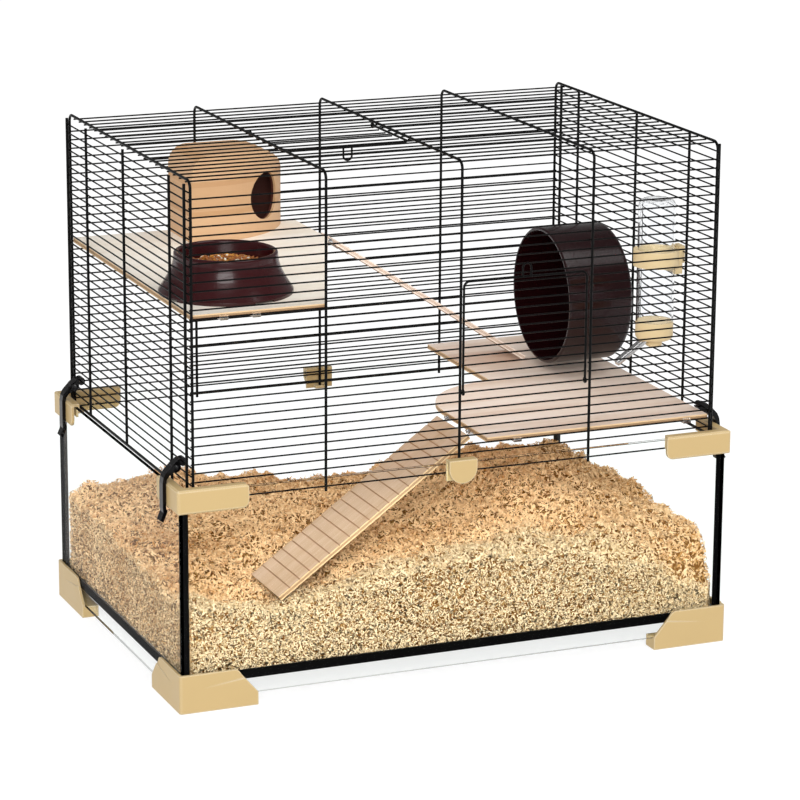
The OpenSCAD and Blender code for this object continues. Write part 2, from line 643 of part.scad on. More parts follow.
module lower_shelf() color(ply_c)
    translate([0, 0, lower_bottom]) linear_extrude(shelf_t) polygon(concat(
        [[lower_edge_x, -shelf_y], [shelf_x, -shelf_y], [shelf_x, shelf_y], [lower_back_x, shelf_y],
        [lower_back_x, -shelf_y + lower_front_len]],
        arc(lower_edge_x + lobe_r, -shelf_y + lower_front_len - lobe_r, lobe_r, 90, 180, 18)));

// A clear clip under a shelf's edge, hooked over a fine wire of the front
module shelf_clip(x, bottom, z) {
    half = 4;
    front = -wire_y - wire_d / 2 - weld;
    slab_yz(x - half, x + half) polygon([
        [-shelf_y + 14, bottom], [-shelf_y + 14, bottom - 1.6], [front - 1.4, bottom - 1.6],
        [front - 1.4, z + wire_d / 2 + 1.5], [-shelf_y - 0.6, z + wire_d / 2 + 1.5],
        [-shelf_y - 0.6, z + wire_d / 2 + weld], [front, z + wire_d / 2 + weld],
        [front, z - wire_d / 2 - weld], [-shelf_y - 0.3, z - wire_d / 2 - weld], [-shelf_y - 0.3, bottom]]);
}
module shelf_clips() color(clear_c)
    for (s = [0, 1]) mirror([0, s, 0]) {
        for (x = [32.5, 65.5]) shelf_clip(x - shelf_x, upper_bottom, row_z(upper_row));
        for (x = [s == 0 ? lower_edge_x + 32 : lower_back_x + 24, shelf_x - 24.5])
            shelf_clip(x, lower_bottom, row_z(lower_row));
    }

// Ramps

// A staple: a rod along Y in front of a shelf's edge, on two legs that meet the edge
module staple(y0, y1) {
    wire_along_y(0, y0, y1, 0, staple_d);
    for (y = [y0 + staple_d / 2, y1 - staple_d / 2]) wire_along_x(-rod_reach, 0, y, 0, staple_d);
}
module ramp_staples() color(steel_c) {
    for (s = [-1, 1]) translate([upper_rod[0], upper_ramp_y + s * (upper_ramp_w / 2 - 9), upper_rod[1]]) staple(-6, 6);
    for (s = [-1, 1]) translate([lower_rod[0], -lower_ramp_y + s * (lower_ramp_w / 2 - 12), lower_rod[1]])
        mirror([1, 0, 0]) staple(-6, 6);
}
// A ramp drawn along +X from its rod: a plank with cross grooves on top
module plank(len, w) {
    start = rod_reach + 1.5;
    count = floor((len - start - 8) / groove_pitch);
    difference() {
        translate([start, -w / 2, plank_lift]) cube([len - start, w, ramp_t]);
        for (i = [1 : count]) translate([start + i * groove_pitch, -w, plank_lift + ramp_t - groove_h])
            cube([groove_w, 2 * w, groove_h + 1]);
    }
}
// A wire hook: a bend round the staple's rod and a tail under the plank
module ramp_hook(y) {
    translate([0, y, 0]) rotate([90, 0, 0]) wire_bend(hook_r, hook_d, 270, -260);
    wire_along_x(0, 26, y, -hook_r, hook_d);
}
module place_upper_ramp() translate([upper_rod[0], upper_ramp_y, upper_rod[1]]) rotate([0, upper_ramp_a, 0]) children();
module place_lower_ramp() translate([lower_rod[0], -lower_ramp_y, lower_rod[1]]) mirror([1, 0, 0])
    rotate([0, lower_ramp_a, 0]) children();
module upper_ramp() color(ply_c) place_upper_ramp() plank(upper_ramp_len, upper_ramp_w);
module upper_ramp_hooks() color(steel_c) place_upper_ramp()
    for (s = [-1, 1]) ramp_hook(s * (upper_ramp_w / 2 - 9));
module lower_ramp() color(ply_c) place_lower_ramp() plank(lower_ramp_len, lower_ramp_w);
module lower_ramp_hooks() color(steel_c) place_lower_ramp()
    for (s = [-1, 1]) ramp_hook(s * (lower_ramp_w / 2 - 12));

// House: a roof sheet bent down to the left, over a round front wall and a back wall

house_back = shelf_y - 1.5;
house_cx = -house_x + house_front_len;
house_cy = house_back - house_d + house_r;
// Plan of the house, drawn in from its outline by t
function house_plan(t) = concat([[-house_x + t, house_back - t], [-house_x + t, house_back - house_d + t]],
    [for (p = arc(house_cx, house_cy, house_r - t, 270, 360, 40)) if (p[1] < house_back - t) p],
    [[house_cx + sqrt(pow(house_r - t, 2) - pow(house_cy - house_back + t, 2)), house_back - t]]);
// Section of the roof in X and Z, drawn in by t, down to the height h at the right
function house_section(t, h) =
    let (flat_x = -house_x + house_bend + house_flat, cz = house_h - house_fall, r = house_fall - t)
    concat([[-house_x + t, -1]], arc(-house_x + house_bend, house_h - house_bend, house_bend - t, 180, 90, 8),
    [for (p = arc(flat_x, cz, r, 90, 0, 24)) if (p[1] > h) p], [[flat_x + r, h], [flat_x + r, -1]]);
module place_house() translate([0, 0, upper_top]) children();
module house_roof() color(ply_c) place_house() intersection() {
    linear_extrude(house_h + 1) polygon(house_plan(0));
    difference() {
        slab_xz(0, house_back + 10) polygon(house_section(0, 30));
        slab_xz(-1, house_back + 11) polygon(house_section(house_t, 30));
    }
    translate([-house_x, 0, 0]) cube([2 * house_x, 2 * house_back, house_h + 1]);
}
module house_walls() color(ply_c) place_house() difference() {
    intersection() {
        linear_extrude(house_h) polygon(house_plan(0.05));
        slab_xz(0, house_back + 10) polygon(house_section(house_t + 0.05, 30));
        translate([-house_x, 0, 0]) cube([2 * house_x, 2 * house_back, house_h + 1]);
    }
    translate([0, 0, -1]) linear_extrude(house_h + 2) polygon(house_plan(house_t));
    translate([house_cx, house_cy, entrance_h]) rotate([0, 90, -entrance_a]) translate([0, 0, house_r - 15])
        cylinder(d = entrance_d, h = 30, $fn = round_fn);
}

// Bowl: a moulded shell with a flared skirt, and the food in it

bowl_in_r = bowl_rim_r - 5;
module food_bowl() color(aubergine_c) translate([-bowl_x, -bowl_y, upper_top]) difference() {
    bowl_shell();
    for (a = [15 : 90 : 285]) rotate(a) translate([bowl_foot_r - 8, -11, -1]) cube([10, 22, 3]);
}
module bowl_shell() rotate_extrude($fn = 96) polygon(concat(
    [[bowl_foot_r - bowl_t, 0], [bowl_foot_r, 0], [bowl_foot_r, 3]],
    [for (i = [1 : 8]) let (u = i / 8)
        [bowl_foot_r - (bowl_foot_r - bowl_rim_r) * sin(90 * u), 3 + (bowl_h - 6) * u]],
    arc(bowl_rim_r - 2.5, bowl_h - 2.5, 2.5, 0, 180, 10),
    [[bowl_in_r - 4, 16]], arc(bowl_in_r - 12, 16, 8, 0, -90, 6),
    [[0, 8], [0, 8 - bowl_t], [bowl_in_r - 12, 8 - bowl_t]],
    arc(bowl_in_r - 12, 16, 8 + bowl_t, -90, 0, 6),
    [[bowl_rim_r - 3.2, bowl_h - 6]],
    [for (i = [7 : -1 : 1]) let (u = i / 8)
        [bowl_foot_r - bowl_t - (bowl_foot_r - bowl_rim_r) * sin(90 * u), 3 + (bowl_h - 8) * u]]));
module food() color("#B8752F") translate([-bowl_x, -bowl_y, upper_top]) rotate_extrude($fn = 64) polygon(concat(
    [[0, 8], [bowl_in_r - 12, 8 + fit]], arc(bowl_in_r - 12, 16, 8 - fit, -90, 0, 6),
    [[bowl_in_r - 4 + (food_h - 22) * 0.15 - fit, food_h - 6]],
    [for (i = [1 : 8]) let (u = 1 - i / 8) [(bowl_in_r - 5) * u, food_h - 6 * u * u]]));

// Wheel: a drum with a ribbed tread, closed at the back, on an axle in a mount

rib_step = 360 / wheel_ribs;
tread_outline = [for (i = [0 : wheel_ribs - 1], k = [0 : 3])
    let (a = rib_step * (i + [0, 0.55, 0.65, 0.9][k]), r = wheel_r - wheel_t - (k == 2 || k == 3 ? rib_h : 0))
    [r * cos(a), r * sin(a)]];
wheel_edge = 6;
wheel_lip = 3;
module place_wheel() translate([wheel_back_x, wheel_y, wheel_z]) rotate([0, -90, 0]) children();
module wheel_drum() color(aubergine_c) place_wheel() {
    translate([0, 0, wheel_edge]) linear_extrude(wheel_len - wheel_edge - wheel_lip) difference() {
        circle(r = wheel_r, $fn = 128);
        polygon(tread_outline);
    }
    translate([0, 0, wheel_len - wheel_lip]) rotate_extrude($fn = 128) polygon([
        [wheel_r - wheel_t - rib_h / 2, 0], [wheel_r, 0], [wheel_r, wheel_lip / 2],
        [wheel_r - wheel_lip / 2, wheel_lip],
        [wheel_r - wheel_t - rib_h / 2, wheel_lip]]);
    rotate_extrude($fn = 128) polygon(concat(
        [[axle_r + axle_fit, 0]], arc(wheel_r - wheel_edge, wheel_edge, wheel_edge, -90, 0, 8),
        arc(wheel_r - wheel_edge, wheel_edge, wheel_edge - wheel_t - rib_h, 0, -90, 6),
        [[14, wheel_t + rib_h], [9, 9], [axle_r + axle_fit, 9]]));
    translate([0, 0, -5]) rotate_extrude($fn = 64) polygon([[axle_r + axle_fit, 0], [9, 0], [12, 5], [axle_r + axle_fit, 5]]);
}
axle_head = 3;
module wheel_axle() color(steel_c) place_wheel() {
    translate([0, 0, -wheel_gap]) cylinder(r = axle_r, h = wheel_gap + 9 + fit, $fn = round_fn);
    translate([0, 0, 9 + fit]) cylinder(r = axle_r + 3, h = axle_head, $fn = round_fn);
}
// Two discs that clamp the side panel's wires, with posts between the wires
module wheel_mount() color(aubergine_c) {
    outer_x = side_wire_x + wire_d / 2 + weld;
    post_z = side_row_z(round((wheel_z - rod_z) / wire_pitch - 0.5) + 0.5);
    translate([mount_x, wheel_y, wheel_z]) rotate([0, 90, 0]) cylinder(r = mount_r, h = mount_t - weld, $fn = round_fn);
    translate([outer_x, wheel_y, wheel_z]) rotate([0, 90, 0]) cylinder(r = mount_r - 4, h = 2.5, $fn = round_fn);
    for (s = [-1, 1]) translate([mount_x + 1, wheel_y + s * 9, post_z]) rotate([0, 90, 0])
        cylinder(r = 2, h = outer_x - mount_x, $fn = 24);
}

// Bottle: a clear shell, its cap with a collar, a steel spout with a ball, and a ring holder

cap_round = 5;
collar_r = 8.5;
module place_bottle() translate([bottle_x, -bottle_y, bottle_z]) children();
module bottle_body() color(clear_c) place_bottle() rotate_extrude($fn = 64) polygon(concat(
    [[bottle_r - bottle_t, 0], [bottle_r, 0]],
    arc(bottle_r - 8, bottle_h - 8, 8, 0, 90, 8), [[0, bottle_h], [0, bottle_h - bottle_t]],
    arc(bottle_r - 8, bottle_h - 8, 8 - bottle_t, 90, 0, 8)));
module bottle_cap() color(tan_c) place_bottle() difference() {
    rotate_extrude($fn = 64) polygon(concat([[0, 0], [0, -cap_h - collar_h], [collar_r - 1, -cap_h - collar_h],
        [collar_r, -cap_h - collar_h + 1], [collar_r, -cap_h]],
        arc(bottle_r - cap_round, -cap_h + cap_round, cap_round, 270, 360, 6), [[bottle_r, 0]]));
    place_spout() translate([0, 0, -1]) cylinder(r = spout_r, h = spout_len, $fn = 32);
}
module place_spout() translate([0, 0, 7 - cap_h]) rotate([0, -90 - spout_a, 0]) children();
module bottle_spout() color(steel_c) place_bottle() place_spout() difference() {
    translate([0, 0, -1]) cylinder(r = spout_r, h = spout_len + 1, $fn = 32);
    translate([0, 0, 6]) cylinder(r = spout_r - 0.8, h = spout_len, $fn = 32);
}
module spout_ball() color(steel_c) place_bottle() place_spout()
    translate([0, 0, spout_len - 1.5]) sphere(r = spout_r - 0.8 - 0.1, $fn = 32);
module bottle_holder() color(tan_c) {
    r = bottle_r + ring_fit;
    pass_row = round((ring_z + ring_h - 4 - rod_z) / wire_pitch);
    pass_z = side_row_z(pass_row) + wire_d / 2 + 0.4;
    outer_x = side_wire_x + wire_d / 2 + weld;
    difference() {
        translate([bottle_x, -bottle_y, ring_z]) union() {
            cylinder(r = r + ring_t, h = ring_h, $fn = 64);
            translate([0, -10, -holder_tail]) cube([hoop_x - weld - bottle_x, 20, ring_h + holder_tail]);
        }
        translate([bottle_x, -bottle_y, ring_z - holder_tail - 1])
            cylinder(r = r, h = ring_h + holder_tail + 2, $fn = 64);
    }
    translate([hoop_x - 2, -bottle_y - 7, pass_z]) cube([outer_x - hoop_x + 4, 14, 4]);
    translate([outer_x, -bottle_y - 7, pass_z - 14]) cube([2.2, 14, 18]);
}

glass_front();
glass_back();
glass_left();
glass_right();
glass_floor();
corner_seams();
floor_seam();
foot_front_left();
foot_front_right();
foot_back_left();
foot_back_right();
bracket_front_left();
bracket_front_right();
bracket_back_left();
bracket_back_right();
rim_clip_front();
rim_clip_back();
bedding();
hoops();
front_grille_lower();
front_grille_left();
front_grille_right();
front_grille_upper();
back_grille();
roof_grille_front();
roof_grille_left();
roof_grille_right();
roof_grille_back();
side_panel_left();
side_panel_right();
front_door();
front_door_loop();
roof_door();
roof_door_loop();
latch_front_left();
latch_front_right();
latch_back_left();
latch_back_right();
upper_shelf();
lower_shelf();
shelf_clips();
ramp_staples();
upper_ramp();
upper_ramp_hooks();
lower_ramp();
lower_ramp_hooks();
house_roof();
house_walls();
food_bowl();
food();
wheel_drum();
wheel_axle();
wheel_mount();
bottle_body();
bottle_cap();
bottle_spout();
spout_ball();
bottle_holder();
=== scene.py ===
"""Dresses the rodent cage: glass, black wire, tan and aubergine mouldings, plywood, steel, wood shavings and food,
in a plain white studio. Metres; +X to the right of the front, +Y to the back, +Z up."""

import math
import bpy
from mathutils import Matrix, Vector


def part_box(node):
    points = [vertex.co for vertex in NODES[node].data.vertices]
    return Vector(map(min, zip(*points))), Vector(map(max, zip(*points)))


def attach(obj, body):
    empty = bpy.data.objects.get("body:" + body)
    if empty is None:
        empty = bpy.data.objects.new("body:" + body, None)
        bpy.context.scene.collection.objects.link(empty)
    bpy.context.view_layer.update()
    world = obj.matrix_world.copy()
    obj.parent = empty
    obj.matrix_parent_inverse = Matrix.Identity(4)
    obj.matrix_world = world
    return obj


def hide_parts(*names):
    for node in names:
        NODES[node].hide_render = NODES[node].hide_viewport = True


bl_info = {
    "name": "Rodent cage",
    "version": (1, 0, 0),
    "blender": (4, 5, 0),
    "location": "View3D > Sidebar > Rodent cage",
    "description": "Finishes a glass and wire rodent cage with its materials, bedding and food, in a studio",
    "category": "Object",
}

import bpy
import numpy as np
from bpy.props import FloatProperty, FloatVectorProperty, IntProperty, PointerProperty
from mathutils import Matrix, Vector

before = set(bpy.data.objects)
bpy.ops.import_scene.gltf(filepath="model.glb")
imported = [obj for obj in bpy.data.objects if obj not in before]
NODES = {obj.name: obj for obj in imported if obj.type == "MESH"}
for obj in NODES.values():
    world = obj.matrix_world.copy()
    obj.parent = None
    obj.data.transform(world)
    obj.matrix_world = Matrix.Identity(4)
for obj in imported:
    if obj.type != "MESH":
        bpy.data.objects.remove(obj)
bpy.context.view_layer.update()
MM = 0.001


def linear(hex_colour):
    """An sRGB colour written as hex, as the linear values that shaders take."""
    parts = np.array([int(hex_colour[i:i + 2], 16) for i in (1, 3, 5)]) / 255
    low = parts / 12.92
    high = ((parts + 0.055) / 1.055) ** 2.4
    return tuple(float(v) for v in np.where(parts <= 0.04045, low, high))


def colour_property(name, hex_colour, description):
    """A colour that a user can change."""
    return FloatVectorProperty(name=name, subtype="COLOR", size=3, min=0.0, max=1.0,
                               default=linear(hex_colour), description=description)


def length_property(name, millimetres, description):
    """A length that a user can change, kept in metres."""
    return FloatProperty(name=name, unit="LENGTH", min=0.0, default=millimetres * MM, precision=5,
                         description=description)


class CageGlass(bpy.types.PropertyGroup):
    """Float glass of the tank and the clear plastic of the bottle."""

    tint: colour_property("Tint", "#FDFFFE", "Colour of light that has passed the glass")
    plastic_tint: colour_property("Plastic tint", "#FCFDFE", "Colour of the clear plastic")
    smear: length_property("Smear", 60, "Size of the faint smears left by wiping")


class CageMouldings(bpy.types.PropertyGroup):
    """Moulded and coated pieces."""

    tan: colour_property("Tan", "#BAA070", "Colour of the feet, brackets and clips")
    pale_tan: colour_property("Pale tan", "#DCC496", "Colour of the bottle's cap and its holder")
    bowl: colour_property("Bowl", "#330B0E", "Aubergine of the bowl")
    # A darker copy of the bowl's aubergine, as painted shade.
    wheel: colour_property("Wheel", "#1C0507", "Darker aubergine of the wheel and its mount")
    black: colour_property("Black", "#040304", "Colour of the latches and the sealant")
    wire: colour_property("Wire", "#030303", "Colour of the coated wires")
    steel: colour_property("Steel", "#C9C8C8", "Colour of the bare steel")
    grain: length_property("Mould grain", 0.8, "Distance between the dimples of a moulded surface")
    round_edge: length_property("Rounded edge", 2.2, "Radius of the edges of the tan pieces")


class CageWood(bpy.types.PropertyGroup):
    """Plywood of the shelves, the ramps and the house."""

    upper: colour_property("Upper shelf", "#FBF5EA", "Early wood on the upper shelf")
    upper_dark: colour_property("Upper shelf grain", "#F0E4D2", "Late wood on the upper shelf")
    lower: colour_property("Lower shelf", "#FAE8DA", "Early wood on the lower shelf")
    lower_dark: colour_property("Lower shelf grain", "#E6CAB4", "Late wood on the lower shelf")
    ramp: colour_property("Ramp", "#CBAE95", "Early wood on the ramps")
    ramp_dark: colour_property("Ramp grain", "#B89878", "Late wood on the ramps")
    # Painted shade at the bottom of a sawn groove.
    groove_shade: colour_property("Scorch", "#A07A5A", "Bottom of a sawn groove")
    house: colour_property("House", "#D6AE86", "Pale wood of the house's bent sheets")
    house_dark: colour_property("House grain", "#C69A6E", "Dark wood of the house's bent sheets")
    # Painted shade on the inside faces of the house.
    house_inside_shade: colour_property("House inside", "#4A1E12", "Bare dark wood inside the house")
    edge: colour_property("Edge", "#D9B88C", "Outer plies on a cut edge")
    core: colour_property("Core", "#6E4424", "Cross ply and glue lines on a cut edge")
    line: length_property("Grain line", 1.6, "Width of a line of the grain")
    sheet: length_property("Sheet", 5, "Thickness of the shelves and the ramps")


class CageBedding(bpy.types.PropertyGroup):
    """Loose wood shavings."""

    cream: colour_property("Cream", "#F2DBB4", "Palest fine shavings at the front")
    cream_dark: colour_property("Dark cream", "#A98755", "Darkest fine shavings at the front")
    tan: colour_property("Tan", "#FAD6A6", "Palest shavings of the heap")
    tan_dark: colour_property("Dark tan", "#BE8444", "Darkest shavings of the heap")
    # Painted shade between the shavings.
    gap: colour_property("Gap", "#704820", "Colour between the shavings")
    length: length_property("Length", 5.4, "Usual length of a shaving")
    width: length_property("Width", 1.6, "Usual width of a shaving")
    cover: FloatProperty(name="Cover", default=2.2, min=0.5, max=6.0,
                         description="How many times over the shavings cover the heap")
    seed: IntProperty(name="Seed", default=7, min=0, description="Picks another arrangement")


class CageFood(bpy.types.PropertyGroup):
    """Dry food mix in the bowl."""

    pellet: colour_property("Pellet", "#A8642C", "Pressed pellets")
    flake: colour_property("Flake", "#E29A3C", "Orange flakes")
    seed_coat: colour_property("Seed", "#F4EBD6", "White seeds")
    length: length_property("Pellet length", 6.5, "Usual length of a pellet")
    count: IntProperty(name="Pieces", default=420, min=20, max=2000, description="Number of bits of food")
    seed: IntProperty(name="Seed", default=11, min=0, description="Picks another arrangement")


class CageStudio(bpy.types.PropertyGroup):
    """Camera, light and floor."""

    lens: FloatProperty(name="Lens", default=151.0, min=20, max=300, subtype="DISTANCE_CAMERA",
                        description="Focal length on a 36 mm sensor")
    key: FloatProperty(name="Key light", default=78.0, min=0.0, unit="POWER", description="Power of the key light")
    fill: FloatProperty(name="Fill light", default=16.0, min=0.0, unit="POWER",
                        description="Power of the fill light overhead")
    sky: FloatProperty(name="Sky", default=0.86, min=0.0, description="Strength of the light from the surround")
    mirrored: FloatProperty(name="Mirrored sky", default=0.35, min=0.0, max=1.0,
                            description="Share of that strength that gloss mirrors")
    floor: colour_property("Floor", "#8C8C8C", "Colour of the floor")


def add_node(tree, kind, settings=None, inputs=None):
    """Adds a node with its settings, and gives each named input a value or a link."""
    node = tree.nodes.new(kind)
    for name, value in (settings or {}).items():
        setattr(node, name, value)
    for name, value in (inputs or {}).items():
        if isinstance(value, bpy.types.NodeSocket):
            tree.links.new(value, node.inputs[name])
        else:
            node.inputs[name].default_value = value
    return node


def new_material(name):
    """An empty material with its node tree."""
    material = bpy.data.materials.new(name)
    material.use_nodes = True
    material.node_tree.nodes.clear()
    return material, material.node_tree


def opaque(colour):
    """A colour property as the four numbers of a socket."""
    return (*colour, 1.0)


def noise(tree, place, scale, detail=3.0, stretch=(1.0, 1.0, 1.0)):
    """Noise from 0 to 1 whose waves are about 1 / scale long, drawn out by stretch along X, Y and Z."""
    stretched = add_node(tree, "ShaderNodeMapping", {}, {"Vector": place, "Scale": tuple(1 / s for s in stretch)})
    made = add_node(tree, "ShaderNodeTexNoise", {}, {"Vector": stretched.outputs["Vector"], "Scale": scale,
                                                     "Detail": detail})
    return made.outputs["Fac"]


def between(tree, value, low, high, low_to=0.0, high_to=1.0):
    """Value carried from the range low to high into the range low_to to high_to, and held inside it."""
    mapped = add_node(tree, "ShaderNodeMapRange", {}, {"Value": value, "From Min": low, "From Max": high,
                                                      "To Min": low_to, "To Max": high_to})
    return mapped.outputs["Result"]


def mixed(tree, share, a, b):
    """Colour a at share 0 and colour b at share 1."""
    node = add_node(tree, "ShaderNodeMix", {"data_type": "RGBA"}, {0: share, 6: a, 7: b})
    return node.outputs[2]


def bumped(tree, height, depth, normal=None):
    """The surface normal over a pattern that is depth metres deep, on the plain normal or on one given."""
    under = {} if normal is None else {"Normal": normal}
    bump = add_node(tree, "ShaderNodeBump", {}, {"Height": height, "Distance": depth, **under})
    return bump.outputs["Normal"]


def object_place(tree):
    """Object coordinates, which on every piece here are its places in the cage at rest."""
    return add_node(tree, "ShaderNodeTexCoord").outputs["Object"]


def finish(tree, shader):
    """Ends the material in this shader."""
    add_node(tree, "ShaderNodeOutputMaterial", {}, {"Surface": shader})


def paint(material, *names):
    """Puts the material in every slot of these CAD nodes."""
    for name in names:
        for place in NODES[name].material_slots:
            place.material = material


def clear_material(name, tint, index, smear):
    """A clear pane or shell that lets lamps through, so that what is inside is lit as in the open. Faint wiping
    smears, drawn out upwards, blur its gloss a little. A pane's index is set under the real 1.5, because two
    panes in line otherwise mirror so much of a white studio that the filling behind them looks grey."""
    material, tree = new_material(name)
    smears = noise(tree, object_place(tree), 1 / smear, 4.0, (1.0, 1.0, 2.5))
    haze = between(tree, smears, 0.45, 0.75, 0.0, 0.006)
    body = add_node(tree, "ShaderNodeBsdfPrincipled", {}, {
        "Base Color": opaque(tint), "Roughness": haze, "IOR": index, "Transmission Weight": 1.0})
    through = add_node(tree, "ShaderNodeBsdfTransparent", {}, {"Color": opaque(tint)})
    path = add_node(tree, "ShaderNodeLightPath")
    shown = add_node(tree, "ShaderNodeMixShader", {}, {
        0: path.outputs["Is Shadow Ray"], 1: body.outputs["BSDF"], 2: through.outputs["BSDF"]})
    finish(tree, shown.outputs["Shader"])
    return material


def moulded_material(name, colour, roughness, grain, depth, coat=0.0, gloss=0.4, edge=0.6 * MM, pale=0.05):
    """Injection-moulded plastic: one even colour with a very slight cloudiness 40 mm wide, a fine mould grain
    that softens the gloss, and a coat where the mould was polished. Its edges are rounded, and where the rounding
    turns the surface by 6 to 26 degrees, its colour goes to colour ^ (1 - pale), a painted highlight along the edge."""
    material, tree = new_material(name)
    place = object_place(tree)
    cloud = noise(tree, place, 25.0, 2.0)
    even = mixed(tree, cloud, opaque(tuple(0.95 * c for c in colour)), opaque(colour))
    dimples = noise(tree, place, 1 / grain, 2.0)
    rough = between(tree, cloud, 0.3, 0.7, roughness * 0.9, roughness * 1.1)
    rounded = add_node(tree, "ShaderNodeBevel", {"samples": 4}, {"Radius": edge}).outputs["Normal"]
    flat = add_node(tree, "ShaderNodeNewGeometry").outputs["Normal"]
    turned = add_node(tree, "ShaderNodeVectorMath", {"operation": "DOT_PRODUCT"}, {0: rounded, 1: flat})
    # Painted highlight along the rounded edges.
    edge_highlight = between(tree, turned.outputs["Value"], 0.9, 0.995, 1.0, 0.0)
    base = mixed(tree, edge_highlight, even, opaque(tuple(c ** (1 - pale) for c in colour)))
    body = add_node(tree, "ShaderNodeBsdfPrincipled", {}, {
        "Base Color": base, "Roughness": rough, "IOR": 1.5, "Specular IOR Level": gloss, "Coat Weight": coat,
        "Coat Roughness": 0.06, "Normal": bumped(tree, dimples, depth, normal=rounded)})
    finish(tree, body.outputs["BSDF"])
    return material


def coated_wire_material(name, colour):
    """Powder-coated steel wire: near black, half gloss, with the faint orange peel of baked powder, and a little
    paler in places 11 mm long."""
    material, tree = new_material(name)
    place = object_place(tree)
    peel = noise(tree, place, 700.0, 2.0)
    worn = opaque(tuple(c * 1.8 for c in colour))
    body = add_node(tree, "ShaderNodeBsdfPrincipled", {}, {
        "Base Color": mixed(tree, noise(tree, place, 90.0), opaque(colour), worn),
        "Roughness": between(tree, peel, 0.3, 0.7, 0.3, 0.42), "IOR": 1.5, "Specular IOR Level": 0.1,
        "Normal": bumped(tree, peel, 0.03 * MM)})
    finish(tree, body.outputs["BSDF"])
    return material


def steel_material(name, colour):
    """Bright drawn stainless steel: fine lines along the draw spread the gloss, drawn 0.4 mm apart to show."""
    material, tree = new_material(name)
    place = object_place(tree)
    lines = noise(tree, place, 2500.0, 2.0, (30.0, 1.0, 1.0))
    body = add_node(tree, "ShaderNodeBsdfPrincipled", {}, {
        "Base Color": opaque(colour), "Metallic": 1.0, "Roughness": between(tree, lines, 0.3, 0.7, 0.16, 0.3),
        "Normal": bumped(tree, lines, 0.01 * MM)})
    finish(tree, body.outputs["BSDF"])
    return material


def tilt_of(name, thickness):
    """The slope of a plank from its box: a plank L long lies dx = L cos a + t sin a wide and
    dz = L sin a + t cos a high, and a few rounds of that settle a."""
    low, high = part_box(name)
    wide, tall = high.x - low.x, high.z - low.z
    angle = 0.0
    for _ in range(6):
        angle = math.atan2(tall - thickness * math.cos(angle), wide - thickness * math.sin(angle))
    return angle


def plywood_material(name, pale, dark, edge, core, groove_shade, line, turn, bottom, thickness):
    """Plywood: long fine grain along X with a broader figure on the faces, and on the cut edges two pale plies
    round a darker cross ply between glue lines. Sawn grooves, which are what lies between 2 mm over the underside
    and 0.6 mm under the face, take a darker colour, a painted shade in the recess. turn is the slope about Y, and
    bottom the sheet's underside once unturned."""
    material, tree = new_material(name)
    spots, unturn = add_node(tree, "ShaderNodeTexCoord"), (0.0, turn, 0.0)
    level = add_node(tree, "ShaderNodeMapping", {}, {
        "Vector": spots.outputs["Object"], "Rotation": unturn}).outputs["Vector"]
    facing = add_node(tree, "ShaderNodeMapping", {"vector_type": "VECTOR"}, {
        "Vector": spots.outputs["Normal"], "Rotation": unturn})
    up = add_node(tree, "ShaderNodeSeparateXYZ", {}, {0: facing.outputs["Vector"]}).outputs["Z"]
    steep = add_node(tree, "ShaderNodeMath", {"operation": "ABSOLUTE"}, {0: up}).outputs[0]
    on_face = between(tree, steep, 0.6, 0.8)
    fibres = noise(tree, level, 1 / line, 3.0, (40.0, 1.0, 1.0))
    figure = noise(tree, level, 45.0, 3.0, (9.0, 1.0, 1.0))
    share = add_node(tree, "ShaderNodeMath", {"operation": "MULTIPLY_ADD"}, {
        0: fibres, 1: 0.55, 2: between(tree, figure, 0.3, 0.7, 0.0, 0.45)}).outputs[0]
    face = mixed(tree, between(tree, share, 0.25, 0.8), opaque(pale), opaque(dark))
    height = add_node(tree, "ShaderNodeSeparateXYZ", {}, {0: level}).outputs["Z"]
    depth = between(tree, height, bottom, bottom + thickness)
    plies = add_node(tree, "ShaderNodeValToRGB", {}, {0: depth})
    ramp = plies.color_ramp
    ramp.interpolation = "CONSTANT"
    middle = tuple(0.45 * e + 0.55 * c for e, c in zip(edge, core))
    for spot, colour in ((0.3, core), (0.36, middle), (0.64, core), (0.7, edge)):
        ramp.elements.new(spot).color = opaque(colour)
    ramp.elements[0].color = opaque(edge)
    ramp.elements[-1].color = opaque(edge)
    # Painted shade at the bottom of the sawn grooves.
    above = between(tree, height, bottom + 1 * MM, bottom + 2 * MM)
    sunk = between(tree, height, bottom + thickness - 0.6 * MM, bottom + thickness - 0.3 * MM, 1.0, 0.0)
    groove = add_node(tree, "ShaderNodeMath", {"operation": "MULTIPLY"}, {0: above, 1: sunk}).outputs[0]
    face = mixed(tree, groove, face, opaque(groove_shade))
    base = mixed(tree, on_face, plies.outputs["Color"], face)
    body = add_node(tree, "ShaderNodeBsdfPrincipled", {}, {
        "Base Color": base, "Roughness": between(tree, fibres, 0.3, 0.7, 0.55, 0.75), "IOR": 1.46,
        "Normal": bumped(tree, fibres, 0.08 * MM)})
    finish(tree, body.outputs["BSDF"])
    return material


def within(tree, place, centre, keep, reach):
    """1 where a place is nearer than reach to a line through centre, else 0. The line runs along the axis whose
    keep is 0. Where Z is kept, only what lies over the centre counts, and on the other axis only what lies on the
    side that its keep points to, 1 or -1, so that a bend goes on as flat sheets on both sides."""
    moved = add_node(tree, "ShaderNodeVectorMath", {"operation": "SUBTRACT"}, {0: place, 1: centre}).outputs[0]
    kept = add_node(tree, "ShaderNodeVectorMath", {"operation": "MULTIPLY"}, {0: moved, 1: keep}).outputs[0]
    if keep[2]:
        kept = add_node(tree, "ShaderNodeVectorMath", {"operation": "MAXIMUM"}, {0: kept, 1: (0, 0, 0)}).outputs[0]
    away = add_node(tree, "ShaderNodeVectorMath", {"operation": "LENGTH"}, {0: kept}).outputs["Value"]
    return add_node(tree, "ShaderNodeMath", {"operation": "LESS_THAN"}, {0: away, 1: reach}).outputs[0]


